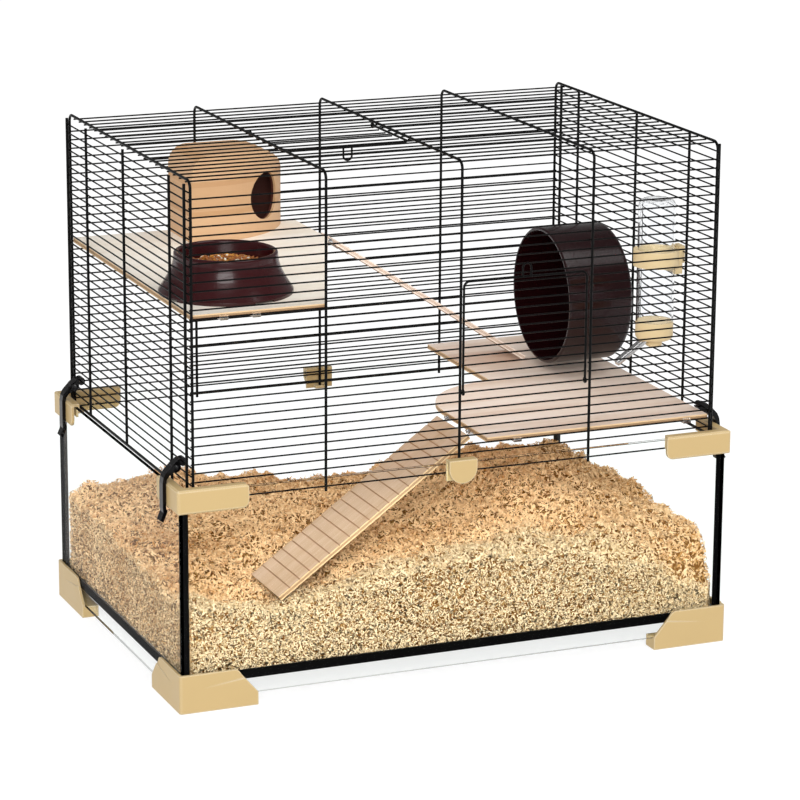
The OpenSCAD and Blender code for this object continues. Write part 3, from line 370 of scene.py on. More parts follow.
def paint_shade_inside(material, name, colour):
    """Darkens the inner half of the bent sheets of the house, a painted shade for its unlit inside: the faces that
    lie within the round front wall, under the roof's wide bend at the right, and under its narrow one at the left."""
    tree = material.node_tree
    low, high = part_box(name)
    half = 2.5 * MM
    bulge, wide_bend, narrow_bend = 111 * MM, 67 * MM, 20 * MM
    place = object_place(tree)
    # The inside faces get painted shade.
    front = within(tree, place, (low.x + 21 * MM, low.y + bulge, 0), (1, 1, 0), bulge - half)
    wide = within(tree, place, (low.x + 68 * MM, 0, high.z - wide_bend), (1, 0, 1), wide_bend - half)
    narrow = within(tree, place, (low.x + narrow_bend, 0, high.z - narrow_bend), (-1, 0, 1), narrow_bend - half)
    depth = add_node(tree, "ShaderNodeSeparateXYZ", {}, {0: place}).outputs["Y"]
    back = between(tree, depth, high.y - half, high.y - half + 0.1 * MM, 1.0, 0.0)
    painted_shade_mask = back
    for part in (front, wide, narrow):
        painted_shade_mask = add_node(tree, "ShaderNodeMath", {"operation": "MULTIPLY"}, {0: painted_shade_mask, 1: part}).outputs[0]
    body = next(node for node in tree.nodes if node.type == "BSDF_PRINCIPLED")
    outer = body.inputs["Base Color"].links[0].from_socket
    tree.links.new(mixed(tree, painted_shade_mask, outer, opaque(colour)), body.inputs["Base Color"])


def shaving_material(name, cream, cream_dark, tan, tan_dark):
    """Dry wood shavings: each one has its own shade and tone, kept in attributes of its points, with faint
    fibres 1 mm apart and hardly any gloss, and thin enough for a little of the light to come through. The
    shade holds painted light and shade by place as well as each shaving's own tone."""
    material, tree = new_material(name)
    shade = add_node(tree, "ShaderNodeAttribute", {"attribute_name": "shade"}).outputs["Fac"]
    tone = add_node(tree, "ShaderNodeAttribute", {"attribute_name": "tone"}).outputs["Fac"]
    fine = mixed(tree, shade, opaque(cream_dark), opaque(cream))
    coarse = mixed(tree, shade, opaque(tan_dark), opaque(tan))
    fibres = noise(tree, object_place(tree), 900.0, 2.0, (3.0, 1.0, 2.0))
    wood = mixed(tree, tone, fine, coarse)
    body = add_node(tree, "ShaderNodeBsdfPrincipled", {}, {
        "Base Color": wood, "Roughness": between(tree, fibres, 0.3, 0.7, 0.7, 0.9),
        "IOR": 1.46, "Specular IOR Level": 0.1, "Normal": bumped(tree, fibres, 0.1 * MM)})
    through = add_node(tree, "ShaderNodeBsdfTranslucent", {}, {"Color": wood})
    both = add_node(tree, "ShaderNodeMixShader", {}, {0: 0.07, 1: body.outputs["BSDF"], 2: through.outputs["BSDF"]})
    finish(tree, both.outputs["Shader"])
    return material


def crumb_material(name, dark, light, size):
    """A bed of small crumbs under the loose bits: light crumbs about size wide, with dark gaps between them, a
    painted shade.
    """
    material, tree = new_material(name)
    place = object_place(tree)
    crumbs = add_node(tree, "ShaderNodeTexVoronoi", {}, {"Vector": place, "Scale": 1 / size}).outputs["Distance"]
    body = add_node(tree, "ShaderNodeBsdfPrincipled", {}, {
        "Base Color": mixed(tree, between(tree, crumbs, 0.15, 0.6), opaque(light), opaque(dark)),
        "Roughness": 0.9, "IOR": 1.46, "Specular IOR Level": 0.1, "Normal": bumped(tree, crumbs, -0.6 * MM)})
    finish(tree, body.outputs["BSDF"])
    return material


def baked_bit_material(name, colour, roughness):
    """Dry food: pressed or baked bits with mottled colour and a crumbly skin."""
    material, tree = new_material(name)
    place = object_place(tree)
    mottle = noise(tree, place, 350.0, 4.0)
    shade = add_node(tree, "ShaderNodeAttribute", {"attribute_name": "shade"}).outputs["Fac"]
    lit = mixed(tree, shade, opaque(tuple(c * 0.55 for c in colour)), opaque(colour))
    base = mixed(tree, between(tree, mottle, 0.35, 0.65), opaque(tuple(c * 0.7 for c in colour)), lit)
    body = add_node(tree, "ShaderNodeBsdfPrincipled", {}, {
        "Base Color": base, "Roughness": roughness, "IOR": 1.46, "Normal": bumped(tree, mottle, 0.3 * MM)})
    finish(tree, body.outputs["BSDF"])
    return material


def piece_from(name, points, corners, body, slot, material, smooth=False, **attributes):
    """A piece from an array of points and an array of faces with the same number of corners. It rides on the
    body and keeps each named attribute on its points. slot is not used."""
    mesh = bpy.data.meshes.new(name)
    mesh.vertices.add(len(points))
    mesh.vertices.foreach_set("co", points.astype(np.float32).ravel())
    mesh.loops.add(corners.size)
    mesh.loops.foreach_set("vertex_index", corners.astype(np.int32).ravel())
    mesh.polygons.add(len(corners))
    mesh.polygons.foreach_set("loop_start", np.arange(0, corners.size, corners.shape[1], dtype=np.int32))
    mesh.update(calc_edges=True)
    mesh.validate()
    for key, values in attributes.items():
        kept = mesh.attributes.new(key, "FLOAT", "POINT")
        kept.data.foreach_set("value", values.astype(np.float32))
    mesh.materials.append(material)
    mesh.polygons.foreach_set("use_smooth", np.full(len(mesh.polygons), smooth))
    piece = bpy.data.objects.new(name, mesh)
    bpy.context.scene.collection.objects.link(piece)
    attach(piece, body)
    return piece


def closed_sheet(top, bottom_z):
    """A heap from a grid of points: the top grid, walls straight down from its rim to bottom_z, and a floor that
    is the same grid laid flat. Returns the points and the quads, with all faces outwards."""
    rows, columns = top.shape[:2]
    flat = top.copy()
    flat[..., 2] = bottom_z
    points = np.concatenate([top.reshape(-1, 3), flat.reshape(-1, 3)])
    index = np.arange(rows * columns).reshape(rows, columns)
    under = index + rows * columns
    a, b, c, d = index[:-1, :-1], index[:-1, 1:], index[1:, 1:], index[1:, :-1]
    upper = np.stack([a, b, c, d], -1).reshape(-1, 4)
    lower = upper[:, ::-1] + rows * columns
    rim = np.concatenate([index[0, :-1], index[:-1, -1], index[-1, :0:-1], index[:0:-1, 0]])
    foot = np.concatenate([under[0, :-1], under[:-1, -1], under[-1, :0:-1], under[:0:-1, 0]])
    walls = np.stack([foot, np.roll(foot, -1), np.roll(rim, -1), rim], -1)
    return points, np.concatenate([upper, lower, walls])


def turned_frames(normals, rng):
    """For each normal, two directions across it: a random one in its plane, and the one square to both."""
    guide = rng.normal(size=normals.shape)
    along = guide - normals * np.sum(guide * normals, 1, keepdims=True)
    along /= np.linalg.norm(along, axis=1, keepdims=True)
    across = np.cross(normals, along)
    return along, across


def shavings(centres, normals, length, width, curl, rng):
    """Curled slivers, 5 points and 6 triangles each. A sliver follows an arc: at s = -1, 0 and 1 its middle is
    centre + along R sin(s a) + normal R (1 - cos(s a)), with R = length / 2a, so it is bent through 2a. Both ends
    are points, and between them, a little off the middle, the section is a flat triangle, width wide and 0.22
    width high. Half of them bend the other way."""
    count = len(centres)
    along, across = turned_frames(normals, rng)
    half = np.abs(rng.normal(curl, 0.5 * curl, count)) + 0.1
    size = length * rng.uniform(0.55, 1.5, count)
    wide = width * rng.uniform(0.5, 1.4, count)
    radius = size / (2 * half)
    side = np.where(rng.random(count) < 0.5, 1.0, -1.0)
    reach = (radius * np.sin(half))[:, None] * along
    lift = (side * radius * (1 - np.cos(half)))[:, None] * normals
    skew = rng.uniform(-0.3, 0.3, count)[:, None]
    middle = centres - 0.5 * lift + skew * reach
    edge = across * (0.5 * wide)[:, None]
    points = np.stack([centres - reach + 0.5 * lift, middle - edge, middle + edge,
                       middle + normals * (0.22 * wide)[:, None], centres + reach + 0.5 * lift], 1)
    one = np.array([[2, 1, 0], [3, 2, 0], [1, 3, 0], [1, 2, 4], [2, 3, 4], [3, 1, 4]])
    corners = (one[None] + 5 * np.arange(count)[:, None, None]).reshape(-1, 3)
    return points, corners


class Bed:
    """The heap of bedding: its reach inside the glass, its floor, and its height at any place."""

    def __init__(self):
        low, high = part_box("bedding")
        self.x = min(-low.x, high.x)
        self.y = min(-low.y, high.y)
        self.floor = low.z
        self.corner = 6.5 * MM  # taken off each upright corner, where the sealant is

    def height(self, x, y):
        """A level layer with soft mounds and dips, each height * exp(-(dx / reach_x) ^ 2 - (dy / reach_y) ^ 2), and
        two ripples and one pattern of lumps, all as the CAD heap has them. The numbers are millimetres."""
        x, y = x / MM, y / MM

        def bell(value, centre, reach):
            return np.exp(-((value - centre) / reach) ** 2)

        level = 80 + 50 * bell(x, 150, 95) * bell(y, 10, 110) + 18 * bell(x, -190, 90) * bell(y, 200, 90)
        level += -10 * bell(x, 15, 80) * bell(y, 190, 70) - 36 * bell(x, -195, 80) * bell(y, -120, 80)
        level += 8 * bell(x, 15, 80) * bell(y, -190, 60) - 72 * bell(x, 310, 110) * bell(y, -205, 32)
        level += 3 * np.sin(np.radians(4.1 * x + 2.3 * y)) + 2 * np.sin(np.radians(5.3 * y - 3.1 * x))
        level += 3.4 * (np.sin(np.radians(9.7 * x + 70 * np.sin(np.radians(3.1 * y))))
                        * np.sin(np.radians(8.9 * y + 60 * np.sin(np.radians(2.3 * x)))))
        return self.floor + level * MM

    def clumps(self, x, y):
        """Small lumps of shavings that the CAD heap leaves out, as a product of two wavy sines: 1.4 mm either way,
        about a level 2 mm under that heap."""
        x, y = x / MM, y / MM
        return MM * (1.4 * np.sin(x / 3.1 + 1.3 * np.sin(y / 4.7)) * np.sin(y / 2.9 + 1.1 * np.sin(x / 5.0)) - 2.0)

    def held(self, points, rng):
        """Points of shavings kept inside the glass. Each shaving has its own depth behind the pane, up to 2.2 mm,
        so that those pressed on the glass lie one over the other."""
        slack = rng.uniform(0.0, 2.2, len(points))[:, None] * MM
        points[..., 0] = np.clip(points[..., 0], -self.x + slack, self.x - slack)
        points[..., 1] = np.clip(points[..., 1], -self.y + slack, self.y - slack)
        over = np.abs(points[..., 0]) + np.abs(points[..., 1]) - (self.x + self.y - self.corner)
        points[..., 0] -= np.sign(points[..., 0]) * np.clip(over, 0, None)
        points[..., 2] = np.maximum(points[..., 2], self.floor + slack)
        return points


def on_top(bed, x, y, rng, tumble):
    """Places and normals of shavings lying on the heap at x and y, each tipped at random by about tumble."""
    step = 1 * MM
    z = bed.height(x, y) + bed.clumps(x, y)
    slope_x = (bed.height(x + step, y) + bed.clumps(x + step, y) - z) / step
    slope_y = (bed.height(x, y + step) + bed.clumps(x, y + step) - z) / step
    normals = np.stack([-slope_x, -slope_y, np.ones_like(x)], -1) + rng.normal(0, tumble, (len(x), 3))
    normals /= np.linalg.norm(normals, axis=1, keepdims=True)
    lift = rng.uniform(-1.0, 2.6, len(x)) * MM
    return np.stack([x, y, z + lift], -1), normals


def in_layer(bed, along_x, sign, count, rng, tumble):
    """Places and normals of shavings packed up to 5.5 mm behind a pane: the front or back one if along_x, else a
    side one, on the side that sign points to."""
    reach = bed.x if along_x else bed.y
    run = rng.uniform(-reach, reach, count)
    back = rng.uniform(0.3, 5.5, count) * MM
    if along_x:
        x, y = run, sign * (bed.y - back)
    else:
        x, y = sign * (bed.x - back), run
    top = bed.height(x, y)
    z = bed.floor + rng.random(count) * (top - bed.floor)
    facing = np.array([0.0, sign, 0.0]) if along_x else np.array([sign, 0.0, 0.0])
    normals = facing + rng.normal(0, tumble, (count, 3))
    normals /= np.linalg.norm(normals, axis=1, keepdims=True)
    return np.stack([x, y, z], -1), normals


class CAGE_OT_glass(bpy.types.Operator):
    """Makes the tank's panes clear float glass"""

    bl_idname = "cage.glass"
    bl_label = "Glass"

    def execute(self, context):
        look = context.scene.cage_glass
        # Float glass: flat, clear and nearly without colour, with weak mirroring.
        pane = clear_material("float_glass", look.tint, 1.05, look.smear)
        paint(pane, "glass_front", "glass_back", "glass_left", "glass_right", "glass_floor")
        return {"FINISHED"}


class CAGE_OT_mouldings(bpy.types.Operator):
    """Finishes the tan, black and aubergine plastic, and the sealant"""

    bl_idname = "cage.mouldings"
    bl_label = "Mouldings"

    def execute(self, context):
        look = context.scene.cage_mouldings
        # Injection-moulded ABS in tan: satin, with a painted highlight along its rounded edges.
        tan = moulded_material("tan_abs", look.tan, 0.36, look.grain, 0.02 * MM, gloss=0.25, edge=look.round_edge,
                               pale=0.45)
        # The same plastic in aubergine, from a polished mould: deep colour under clear lights.
        bowl = moulded_material("aubergine_abs", look.bowl, 0.25, look.grain, 0.01 * MM, coat=0.15, gloss=0.3)
        # The drum and its mount take a darker copy of the bowl's aubergine, as painted shade, with the same polish.
        wheel = moulded_material("dark_aubergine_abs", look.wheel, 0.22, look.grain, 0.01 * MM, coat=0.1,
                                 gloss=0.25)
        # Black polypropylene: a waxy gloss, with a painted highlight along its edges.
        black = moulded_material("black_polypropylene", look.black, 0.2, look.grain, 0.01 * MM, coat=0.1,
                                 gloss=0.12, pale=0.5)
        # Silicone sealant tooled with a finger: black, soft sheen, in waves 6 mm long.
        sealant = moulded_material("silicone_sealant", look.black, 0.4, 6 * MM, 0.1 * MM, gloss=0.5)
        # Polypropylene in a paler tan: softer, with less gloss, and a painted highlight along its edges.
        pale = moulded_material("pale_tan_polypropylene", look.pale_tan, 0.4, look.grain, 0.02 * MM, pale=0.4)
        paint(tan, *[name for name in NODES if name.startswith(("foot_", "bracket_", "rim_clip_"))])
        paint(pale, "bottle_cap", "bottle_holder")
        paint(bowl, "food_bowl")
        paint(wheel, "wheel_drum", "wheel_mount")
        paint(black, *[name for name in NODES if name.startswith("latch_")])
        paint(sealant, "corner_seams", "floor_seam")
        return {"FINISHED"}


class CAGE_OT_wires(bpy.types.Operator):
    """Coats the hood's wires black and brightens the bare steel"""

    bl_idname = "cage.wires"
    bl_label = "Wires and steel"

    def execute(self, context):
        look = context.scene.cage_mouldings
        # Steel wire under black powder: hardly mirrors, so it stays black against white.
        coated = coated_wire_material("powder_coated_wire", look.wire)
        paint(coated, "hoops", *[name for name in NODES if "grille" in name or "panel" in name or "door" in name])
        # Bare stainless wire and tube: bright, with the lines of its drawing.
        steel = steel_material("drawn_stainless_steel", look.steel)
        paint(steel, "ramp_staples", "upper_ramp_hooks", "lower_ramp_hooks", "wheel_axle", "bottle_spout",
              "spout_ball")
        return {"FINISHED"}


class CAGE_OT_plywood(bpy.types.Operator):
    """Grains the shelves, the ramps and the house"""

    bl_idname = "cage.plywood"
    bl_label = "Plywood"

    def execute(self, context):
        look = context.scene.cage_wood
        cut = look.edge, look.core, look.groove_shade, look.line
        # Sanded birch plywood: pale, matt, with fine grain along its length.
        for name, pale, dark in (("upper_shelf", look.upper, look.upper_dark),
                                 ("lower_shelf", look.lower, look.lower_dark)):
            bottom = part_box(name)[0].z
            paint(plywood_material("birch_plywood_" + name, pale, dark, *cut, 0.0, bottom, look.sheet), name)
        # The ramps take darker colours than the shelves; the upper one's cut edges are as pale as its face.
        pale_cut = look.lower, look.ramp, look.groove_shade, look.line
        for name, sign, sawn in (("upper_ramp", -1, pale_cut), ("lower_ramp", 1, cut)):
            turn = sign * tilt_of(name, look.sheet)
            vertices = NODES[name].data.vertices
            places = np.empty(3 * len(vertices), dtype=np.float32)
            vertices.foreach_get("co", places)
            unturned = places.reshape(-1, 3) @ np.array(Matrix.Rotation(turn, 3, "Y")).T
            bottom = float(unturned[:, 2].min())
            paint(plywood_material("birch_plywood_" + name, look.ramp, look.ramp_dark, *sawn, turn, bottom,
                                   look.sheet), name)
        # Bent poplar plywood of the house: warmer, with its grain round the bend.
        low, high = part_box("house_roof")
        bent = plywood_material("poplar_plywood_house", look.house, look.house_dark, look.house, look.house_dark,
                                look.house_dark, look.line, 0.0, low.z, high.z - low.z)
        # Painted shade on the inside faces of the house.
        paint_shade_inside(bent, "house_roof", look.house_inside_shade)
        paint(bent, "house_roof", "house_walls")
        return {"FINISHED"}


class CAGE_OT_bedding(bpy.types.Operator):
    """Fills the tank with wood shavings"""

    bl_idname = "cage.bedding"
    bl_label = "Bedding"

    def execute(self, context):
        look = context.scene.cage_bedding
        rng = np.random.default_rng(look.seed)
        bed = Bed()
        self.heap(bed, look)
        loose = shaving_material("wood_shavings", look.cream, look.cream_dark, look.tan, look.tan_dark)
        each = 0.5 * look.length * look.width / look.cover  # the area that one shaving has to itself
        wall = 80 * MM  # the usual height of the bedding behind a pane
        # Each pane: whether it runs along X, the side it is on, and its share of the cover.
        panes = {"front": (True, -1, 1.2), "back": (True, 1, 0.7), "left": (False, -1, 1.0), "right": (False, 1, 0.7)}
        for name, (along_x, sign, share) in panes.items():
            reach = bed.x if along_x else bed.y
            count = int(share * 2 * reach * wall / each)
            places, normals = in_layer(bed, along_x, sign, count, rng, tumble=0.45)
            self.scatter("shavings_at_" + name, bed, look, loose, places, normals, rng, size=0.8, curl=0.5)
        bands, size = 4, 1.4  # in bands from front to back, so that no piece is too large
        for band in range(bands):
            start, end = (-bed.y + 2 * bed.y * (band + part) / bands for part in (0, 1))
            count = int(2 * bed.x * (end - start) / (each * size ** 2))
            x, y = rng.uniform(-bed.x, bed.x, count), rng.uniform(start, end, count)
            places, normals = on_top(bed, x, y, rng, tumble=0.55)
            self.scatter(f"shavings_on_top_{band + 1}", bed, look, loose, places, normals, rng, size=size, curl=0.8)
        return {"FINISHED"}

    def heap(self, bed, look):
        """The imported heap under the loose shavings: the height on a grid of 3 mm, 1 mm lower than the shavings
        and drawn in from the glass by 4 mm."""
        inset, step, sunk = 4 * MM, 3 * MM, 1 * MM
        across = np.linspace(-bed.x + inset, bed.x - inset, int(2 * bed.x / step))
        deep = np.linspace(-bed.y + inset, bed.y - inset, int(2 * bed.y / step))
        x, y = np.meshgrid(across, deep)
        over = np.abs(x) + np.abs(y) - (bed.x + bed.y - bed.corner - inset)
        x = x - np.sign(x) * np.clip(over, 0, None)
        top = np.stack([x, y, bed.height(x, y) + bed.clumps(x, y) - sunk], -1)
        points, corners = closed_sheet(top, bed.floor)
        # The heap's dark gaps between crumbs are painted shade.
        packed = crumb_material("packed_shavings", look.gap, look.cream_dark, 3 * MM)
        heap = piece_from("bedding_heap", points, corners, "tank", "wood_shavings", packed, smooth=True)
        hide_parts("bedding")

    def scatter(self, name, bed, look, material, places, normals, rng, size, curl):
        """One layer of shavings, size times the usual size and bent through about twice curl."""
        points, corners = shavings(places, normals, size * look.length, size * look.width, curl, rng)
        points = bed.held(points, rng)
        tone, shade = self.colouring(bed, places, rng)
        each = points.shape[1]
        piece_from(name, points.reshape(-1, 3), corners, "tank", "wood_shavings", material,
                   shade=np.repeat(shade, each), tone=np.repeat(tone, each))

    def colouring(self, bed, places, rng):
        """Tone, 0 for cream and 1 for tan, and shade, 0 for dark and 1 for pale, of each shaving. Cream lies in
        front of a wavy line 150 mm before the middle, and at the right only low down, under a limit that falls
        from 105 to 20 mm over the floor. Above it, and along the left pane, the two mix. The shade is mostly pale,
        darker in broad patches of the tan, darker towards both ends as painted shade, and paler in the middle as
        painted light that lifts the lower shelf's shadow. The steps from one to the other are
        1 / (1 + exp(-distance / softness)), in millimetres."""
        x, y, z = (places / MM).T
        count = len(places)

        def past(distance, softness):
            return 1 / (1 + np.exp(-distance / softness))

        behind = (y + 150 - 12 * np.sin(x / 45)) / 26
        high = (z - bed.floor / MM - (105 - 85 * past(x - 215, 22))) / 16
        at_left, at_right = past(9 - bed.x / MM - x, 2), past(x - 185, 25)
        tone = np.maximum(behind, high) + rng.normal(0, 0.3, count)
        tone = (1 - at_left) * tone + at_left * rng.normal(0.45, 0.25, count)
        tone = np.clip(tone, 0, 1) * (1 - 0.45 * at_right)
        patch = np.sin(x / 47 + 1.7 * np.sin(y / 39)) * np.sin(y / 33 + 1.4 * np.sin(x / 58) + 0.6)
        # Paler in the middle as painted light against the lower shelf's shadow, and darker at both ends as painted
        # shade.
        middle = np.exp(-((x - 50) / 130) ** 2 - ((y - 40) / 120) ** 2)
        shade = rng.beta(1.8, 0.85, count) - 0.3 * tone * patch + 0.35 * middle
        shade -= 0.12 * at_left + 0.18 * at_right
        return tone, np.clip(shade, 0, 1)


class CAGE_OT_food(bpy.types.Operator):
    """Fills the bowl with dry food"""

    bl_idname = "cage.food"
    bl_label = "Food"

    def execute(self, context):
        look = context.scene.cage_food
        rng = np.random.default_rng(look.seed)
        low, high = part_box("food")
        centre = Vector(((low.x + high.x) / 2, (low.y + high.y) / 2, high.z))
        reach = (high.x - low.x) / 2 - 1 * MM
        self.mound(look, centre, reach, low.z)
        # Each kind: its colour, its share of the pieces, and its length, width and height over the usual length.
        kinds = (("food_pellets", look.pellet, 0.45, (1.0, 0.42, 0.42)),
                 ("food_flakes", look.flake, 0.35, (0.9, 0.75, 0.22)),
                 ("food_seeds", look.seed_coat, 0.2, (0.8, 0.42, 0.22)))
        for name, colour, share, form in kinds:
            material = baked_bit_material(name + "_crust", colour, 0.7)
            self.bits(name, material, centre, reach, int(share * look.count), look.length, form, rng)
        return {"FINISHED"}

    def height(self, centre, reach, radius):
        """A low dome: its top is 3 mm under the CAD heap's, and it falls by 6 mm (radius / reach) ^ 2."""
        return centre.z - 3 * MM - 6 * MM * (radius / reach) ** 2

    def mound(self, look, centre, reach, bottom):
        """The food under the loose bits: the dome with a ripple of 0.8 mm, as 12 rings of 48 points, over the
        same rings laid flat, with the rim drawn in below as the bowl is."""
        rings, sides = 12, 48
        share = np.linspace(0.02, 1, rings)[:, None]
        angle = np.linspace(0, 2 * math.pi, sides, endpoint=False)[None, :]
        x = centre.x + reach * share * np.cos(angle)
        y = centre.y + reach * share * np.sin(angle)
        z = self.height(centre, reach, reach * share) + 0.8 * MM * np.sin(9 * angle) * np.sin(14 * share)
        top = np.stack([x, y, z], -1)
        low = top.copy()
        low[..., 2] = bottom + 2 * MM
        middle = np.array(centre.xy)
        low[-1, :, :2] = middle + (low[-1, :, :2] - middle) * 0.8
        index = np.arange(rings * sides).reshape(rings, sides)
        turn = np.roll(index, -1, axis=1)
        upper = np.stack([index[:-1], index[1:], turn[1:], turn[:-1]], -1).reshape(-1, 4)
        lower = upper[:, ::-1] + rings * sides
        wall = np.stack([index[-1], index[-1] + rings * sides, turn[-1] + rings * sides, turn[-1]], -1)
        well = np.stack([turn[0], turn[0] + rings * sides, index[0] + rings * sides, index[0]], -1)
        points = np.concatenate([top.reshape(-1, 3), low.reshape(-1, 3)])
        # The dark gaps between the food crumbs are painted shade.
        crumbs = crumb_material("food_crumbs", tuple(c * 0.35 for c in look.pellet), look.flake, 2.5 * MM)
        mound = piece_from("food_mound", points, np.concatenate([upper, lower, wall, well]), "bowl", "food_mix",
                           crumbs, smooth=True)
        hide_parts("food")

    def bits(self, name, material, centre, reach, count, length, form, rng):
        """Rounded bits: each is a ball of 4 rings by 7 sides, drawn out to its form and turned at random."""
        radius = (reach - 4 * MM) * np.sqrt(rng.random(count))
        angle = rng.uniform(0, 2 * math.pi, count)
        places = np.stack([centre.x + radius * np.cos(angle), centre.y + radius * np.sin(angle),
                           self.height(centre, reach, radius) + rng.uniform(-0.5, 1.6, count) * MM], -1)
        normals = np.array([0.0, 0.0, 1.0]) + rng.normal(0, 0.5, (count, 3))
        normals /= np.linalg.norm(normals, axis=1, keepdims=True)
        along, across = turned_frames(normals, rng)
        sides = 7
        tilt = np.radians([-62, -20, 20, 62])[:, None]
        turn = np.linspace(0, 2 * math.pi, sides, endpoint=False)[None, :]
        ball = np.stack([np.sin(tilt) + 0 * turn, np.cos(tilt) * np.cos(turn), np.cos(tilt) * np.sin(turn)], -1)
        ball = np.concatenate([[[-1, 0, 0]], ball.reshape(-1, 3), [[1, 0, 0]]]) * np.array(form) / 2
        size = length * rng.uniform(0.6, 1.15, count)
        shape = ball[None] * size[:, None, None]
        points = (places[:, None] + shape[..., :1] * along[:, None] + shape[..., 1:2] * across[:, None]
                  + shape[..., 2:] * normals[:, None])
        ring = np.arange(sides)
        after = (ring + 1) % sides
        start = np.stack([np.zeros(sides, int), 1 + after, 1 + ring], -1)
        bands = [np.stack([1 + k * sides + ring, 1 + k * sides + after, 1 + (k + 1) * sides + after], -1)
                 for k in range(3)]
        bands += [np.stack([1 + k * sides + ring, 1 + (k + 1) * sides + after, 1 + (k + 1) * sides + ring], -1)
                  for k in range(3)]
        last = 4 * sides + 1
        end = np.stack([np.full(sides, last), last - sides + ring, last - sides + after], -1)
        one = np.concatenate([start, *bands, end])
        corners = (one[None] + (last + 1) * np.arange(count)[:, None, None]).reshape(-1, 3)
        shade = np.repeat(rng.random(count), last + 1)
        piece_from(name, points.reshape(-1, 3), corners, "bowl", "food_mix", material, smooth=True, shade=shade)


class CAGE_OT_bottle(bpy.types.Operator):
    """Clears the bottle and the shelf clips"""

    bl_idname = "cage.bottle"
    bl_label = "Bottle and clips"

    def execute(self, context):
        look = context.scene.cage_glass
        # Blown PET: clear and thin, a little wavy.
        paint(clear_material("clear_pet", look.plastic_tint, 1.25, 12 * MM), "bottle_body")
        # Moulded polystyrene: clear and hard.
        paint(clear_material("clear_polystyrene", look.plastic_tint, 1.3, 8 * MM), "shelf_clips")
        return {"FINISHED"}


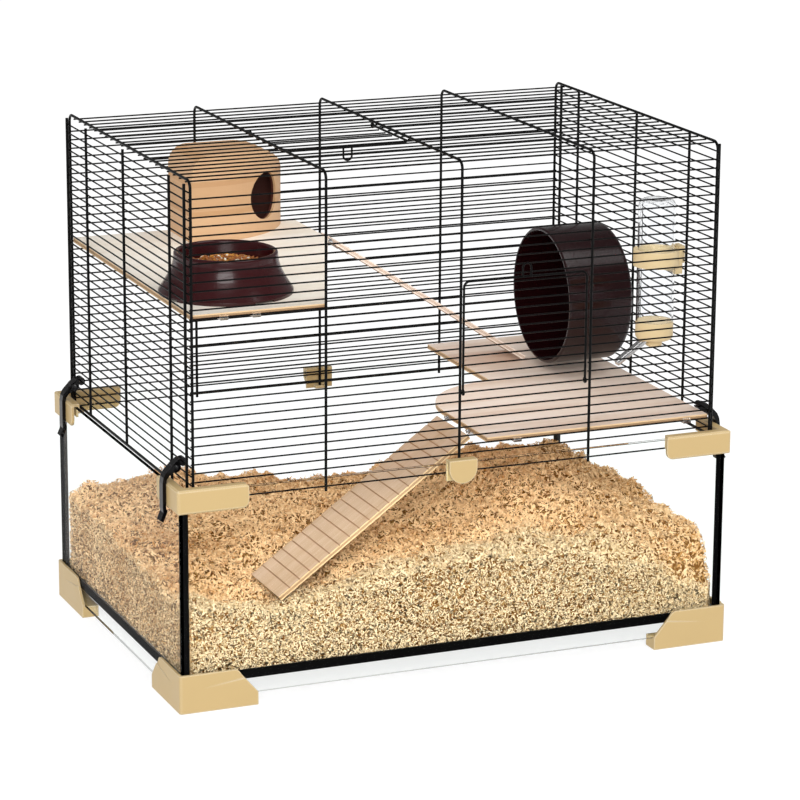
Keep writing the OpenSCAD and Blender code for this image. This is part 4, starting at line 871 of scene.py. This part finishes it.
class CAGE_OT_studio(bpy.types.Operator):
    """Sets the camera, the lamps, the surround and the floor"""

    bl_idname = "cage.studio"
    bl_label = "Studio"

    def execute(self, context):
        look = context.scene.cage_studio
        self.camera(context, look)
        self.lamp("key_light", (-1.3, -3.0, 1.8), 1.8, look.key)
        self.lamp("fill_light", (1.0, -0.75, 2.6), 1.3, look.fill)
        self.surround(context, look)
        self.ground(look)
        return {"FINISHED"}

    def camera(self, context, look):
        """The photograph's camera: its place, and its turn as yaw to the right, pitch down and roll."""
        place = Vector((-1.288546, -3.106141, 1.143435))
        yaw, pitch, roll = 0.3975, 0.2632, 0.0064
        ahead = Vector((math.sin(yaw) * math.cos(pitch), math.cos(yaw) * math.cos(pitch), -math.sin(pitch)))
        right = Vector((math.cos(yaw), -math.sin(yaw), 0.0))
        up = right.cross(ahead)
        leant_right = math.cos(roll) * right + math.sin(roll) * up
        leant_up = math.cos(roll) * up - math.sin(roll) * right
        data = bpy.data.cameras.new("camera")
        data.lens = look.lens
        data.sensor_width = 36.0
        camera = bpy.data.objects.new("camera", data)
        turned = Matrix((leant_right, leant_up, -ahead)).transposed()
        camera.matrix_world = Matrix.Translation(place) @ turned.to_4x4()
        context.scene.collection.objects.link(camera)
        context.scene.camera = camera

    def lamp(self, name, place, size, power):
        """A square soft box that faces the middle of the cage, 0.25 m up."""
        data = bpy.data.lights.new(name, "AREA")
        data.size = size
        data.energy = power
        lamp = bpy.data.objects.new(name, data)
        lamp.location = place
        aim = Vector((0.0, 0.0, 0.25)) - lamp.location
        lamp.rotation_euler = aim.to_track_quat("-Z", "Y").to_euler()
        bpy.context.scene.collection.objects.link(lamp)

    def surround(self, context, look):
        """A plain white world, shown without a film curve so that white stays white. It is paper white seen
        straight or through glass, and less strong as light and in what gloss mirrors."""
        world = bpy.data.worlds.new("white_surround")
        world.use_nodes = True
        tree = world.node_tree
        tree.nodes.clear()
        path = add_node(tree, "ShaderNodeLightPath")
        seen = add_node(tree, "ShaderNodeMath", {"operation": "MAXIMUM"}, {
            0: path.outputs["Is Camera Ray"], 1: path.outputs["Is Transmission Ray"]}).outputs[0]
        dimmed = between(tree, path.outputs["Is Glossy Ray"], 0.0, 1.0, look.sky, look.mirrored * look.sky)
        strength = add_node(tree, "ShaderNodeMix", {"data_type": "FLOAT"}, {0: seen, 2: dimmed, 3: 1.0}).outputs[0]
        sky = add_node(tree, "ShaderNodeBackground", {}, {"Color": (1.0, 1.0, 1.0, 1.0), "Strength": strength})
        add_node(tree, "ShaderNodeOutputWorld", {}, {"Surface": sky.outputs["Background"]})
        context.scene.world = world
        context.scene.view_settings.view_transform = "Standard"

    def ground(self, look):
        """A wide pale floor, lit a little from below as a light table is, so that shadows on it stay faint."""
        half = 6.0
        corners = [(-half, -half, 0), (half, -half, 0), (half, half, 0), (-half, half, 0)]
        mesh = bpy.data.meshes.new("floor")
        mesh.from_pydata(corners, [], [(0, 1, 2, 3)])
        # Matt paint over a lit panel.
        material, tree = new_material("painted_floor")
        body = add_node(tree, "ShaderNodeBsdfPrincipled", {}, {
            "Base Color": opaque(look.floor), "Roughness": 0.8, "Emission Color": (1.0, 1.0, 1.0, 1.0),
            "Emission Strength": 0.8})
        finish(tree, body.outputs["BSDF"])
        mesh.materials.append(material)
        floor = bpy.data.objects.new("floor", mesh)
        bpy.context.scene.collection.objects.link(floor)


class CAGE_PT_sidebar(bpy.types.Panel):
    """Lists the steps that dress the cage"""

    bl_idname = "CAGE_PT_sidebar"
    bl_label = "Rodent cage"
    bl_space_type = "VIEW_3D"
    bl_region_type = "UI"
    bl_category = "Rodent cage"

    def draw(self, context):
        for operator in OPERATORS:
            self.layout.operator(operator.bl_idname)


GROUPS = {"cage_glass": CageGlass, "cage_mouldings": CageMouldings, "cage_wood": CageWood,
          "cage_bedding": CageBedding, "cage_food": CageFood, "cage_studio": CageStudio}
OPERATORS = (CAGE_OT_studio, CAGE_OT_glass, CAGE_OT_mouldings, CAGE_OT_wires, CAGE_OT_plywood, CAGE_OT_bedding,
             CAGE_OT_food, CAGE_OT_bottle)


def register():
    for name, group in GROUPS.items():
        bpy.utils.register_class(group)
        setattr(bpy.types.Scene, name, PointerProperty(type=group))
    for shown in (*OPERATORS, CAGE_PT_sidebar):
        bpy.utils.register_class(shown)


def unregister():
    for shown in (*OPERATORS, CAGE_PT_sidebar):
        bpy.utils.unregister_class(shown)
    for name, group in GROUPS.items():
        delattr(bpy.types.Scene, name)
        bpy.utils.unregister_class(group)


def main():
    """Registers the add-on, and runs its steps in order."""
    register()
    bpy.ops.cage.studio()
    bpy.ops.cage.glass()
    bpy.ops.cage.mouldings()
    bpy.ops.cage.wires()
    bpy.ops.cage.plywood()
    bpy.ops.cage.bedding()
    bpy.ops.cage.food()
    bpy.ops.cage.bottle()


if __name__ == "__main__":
    main()
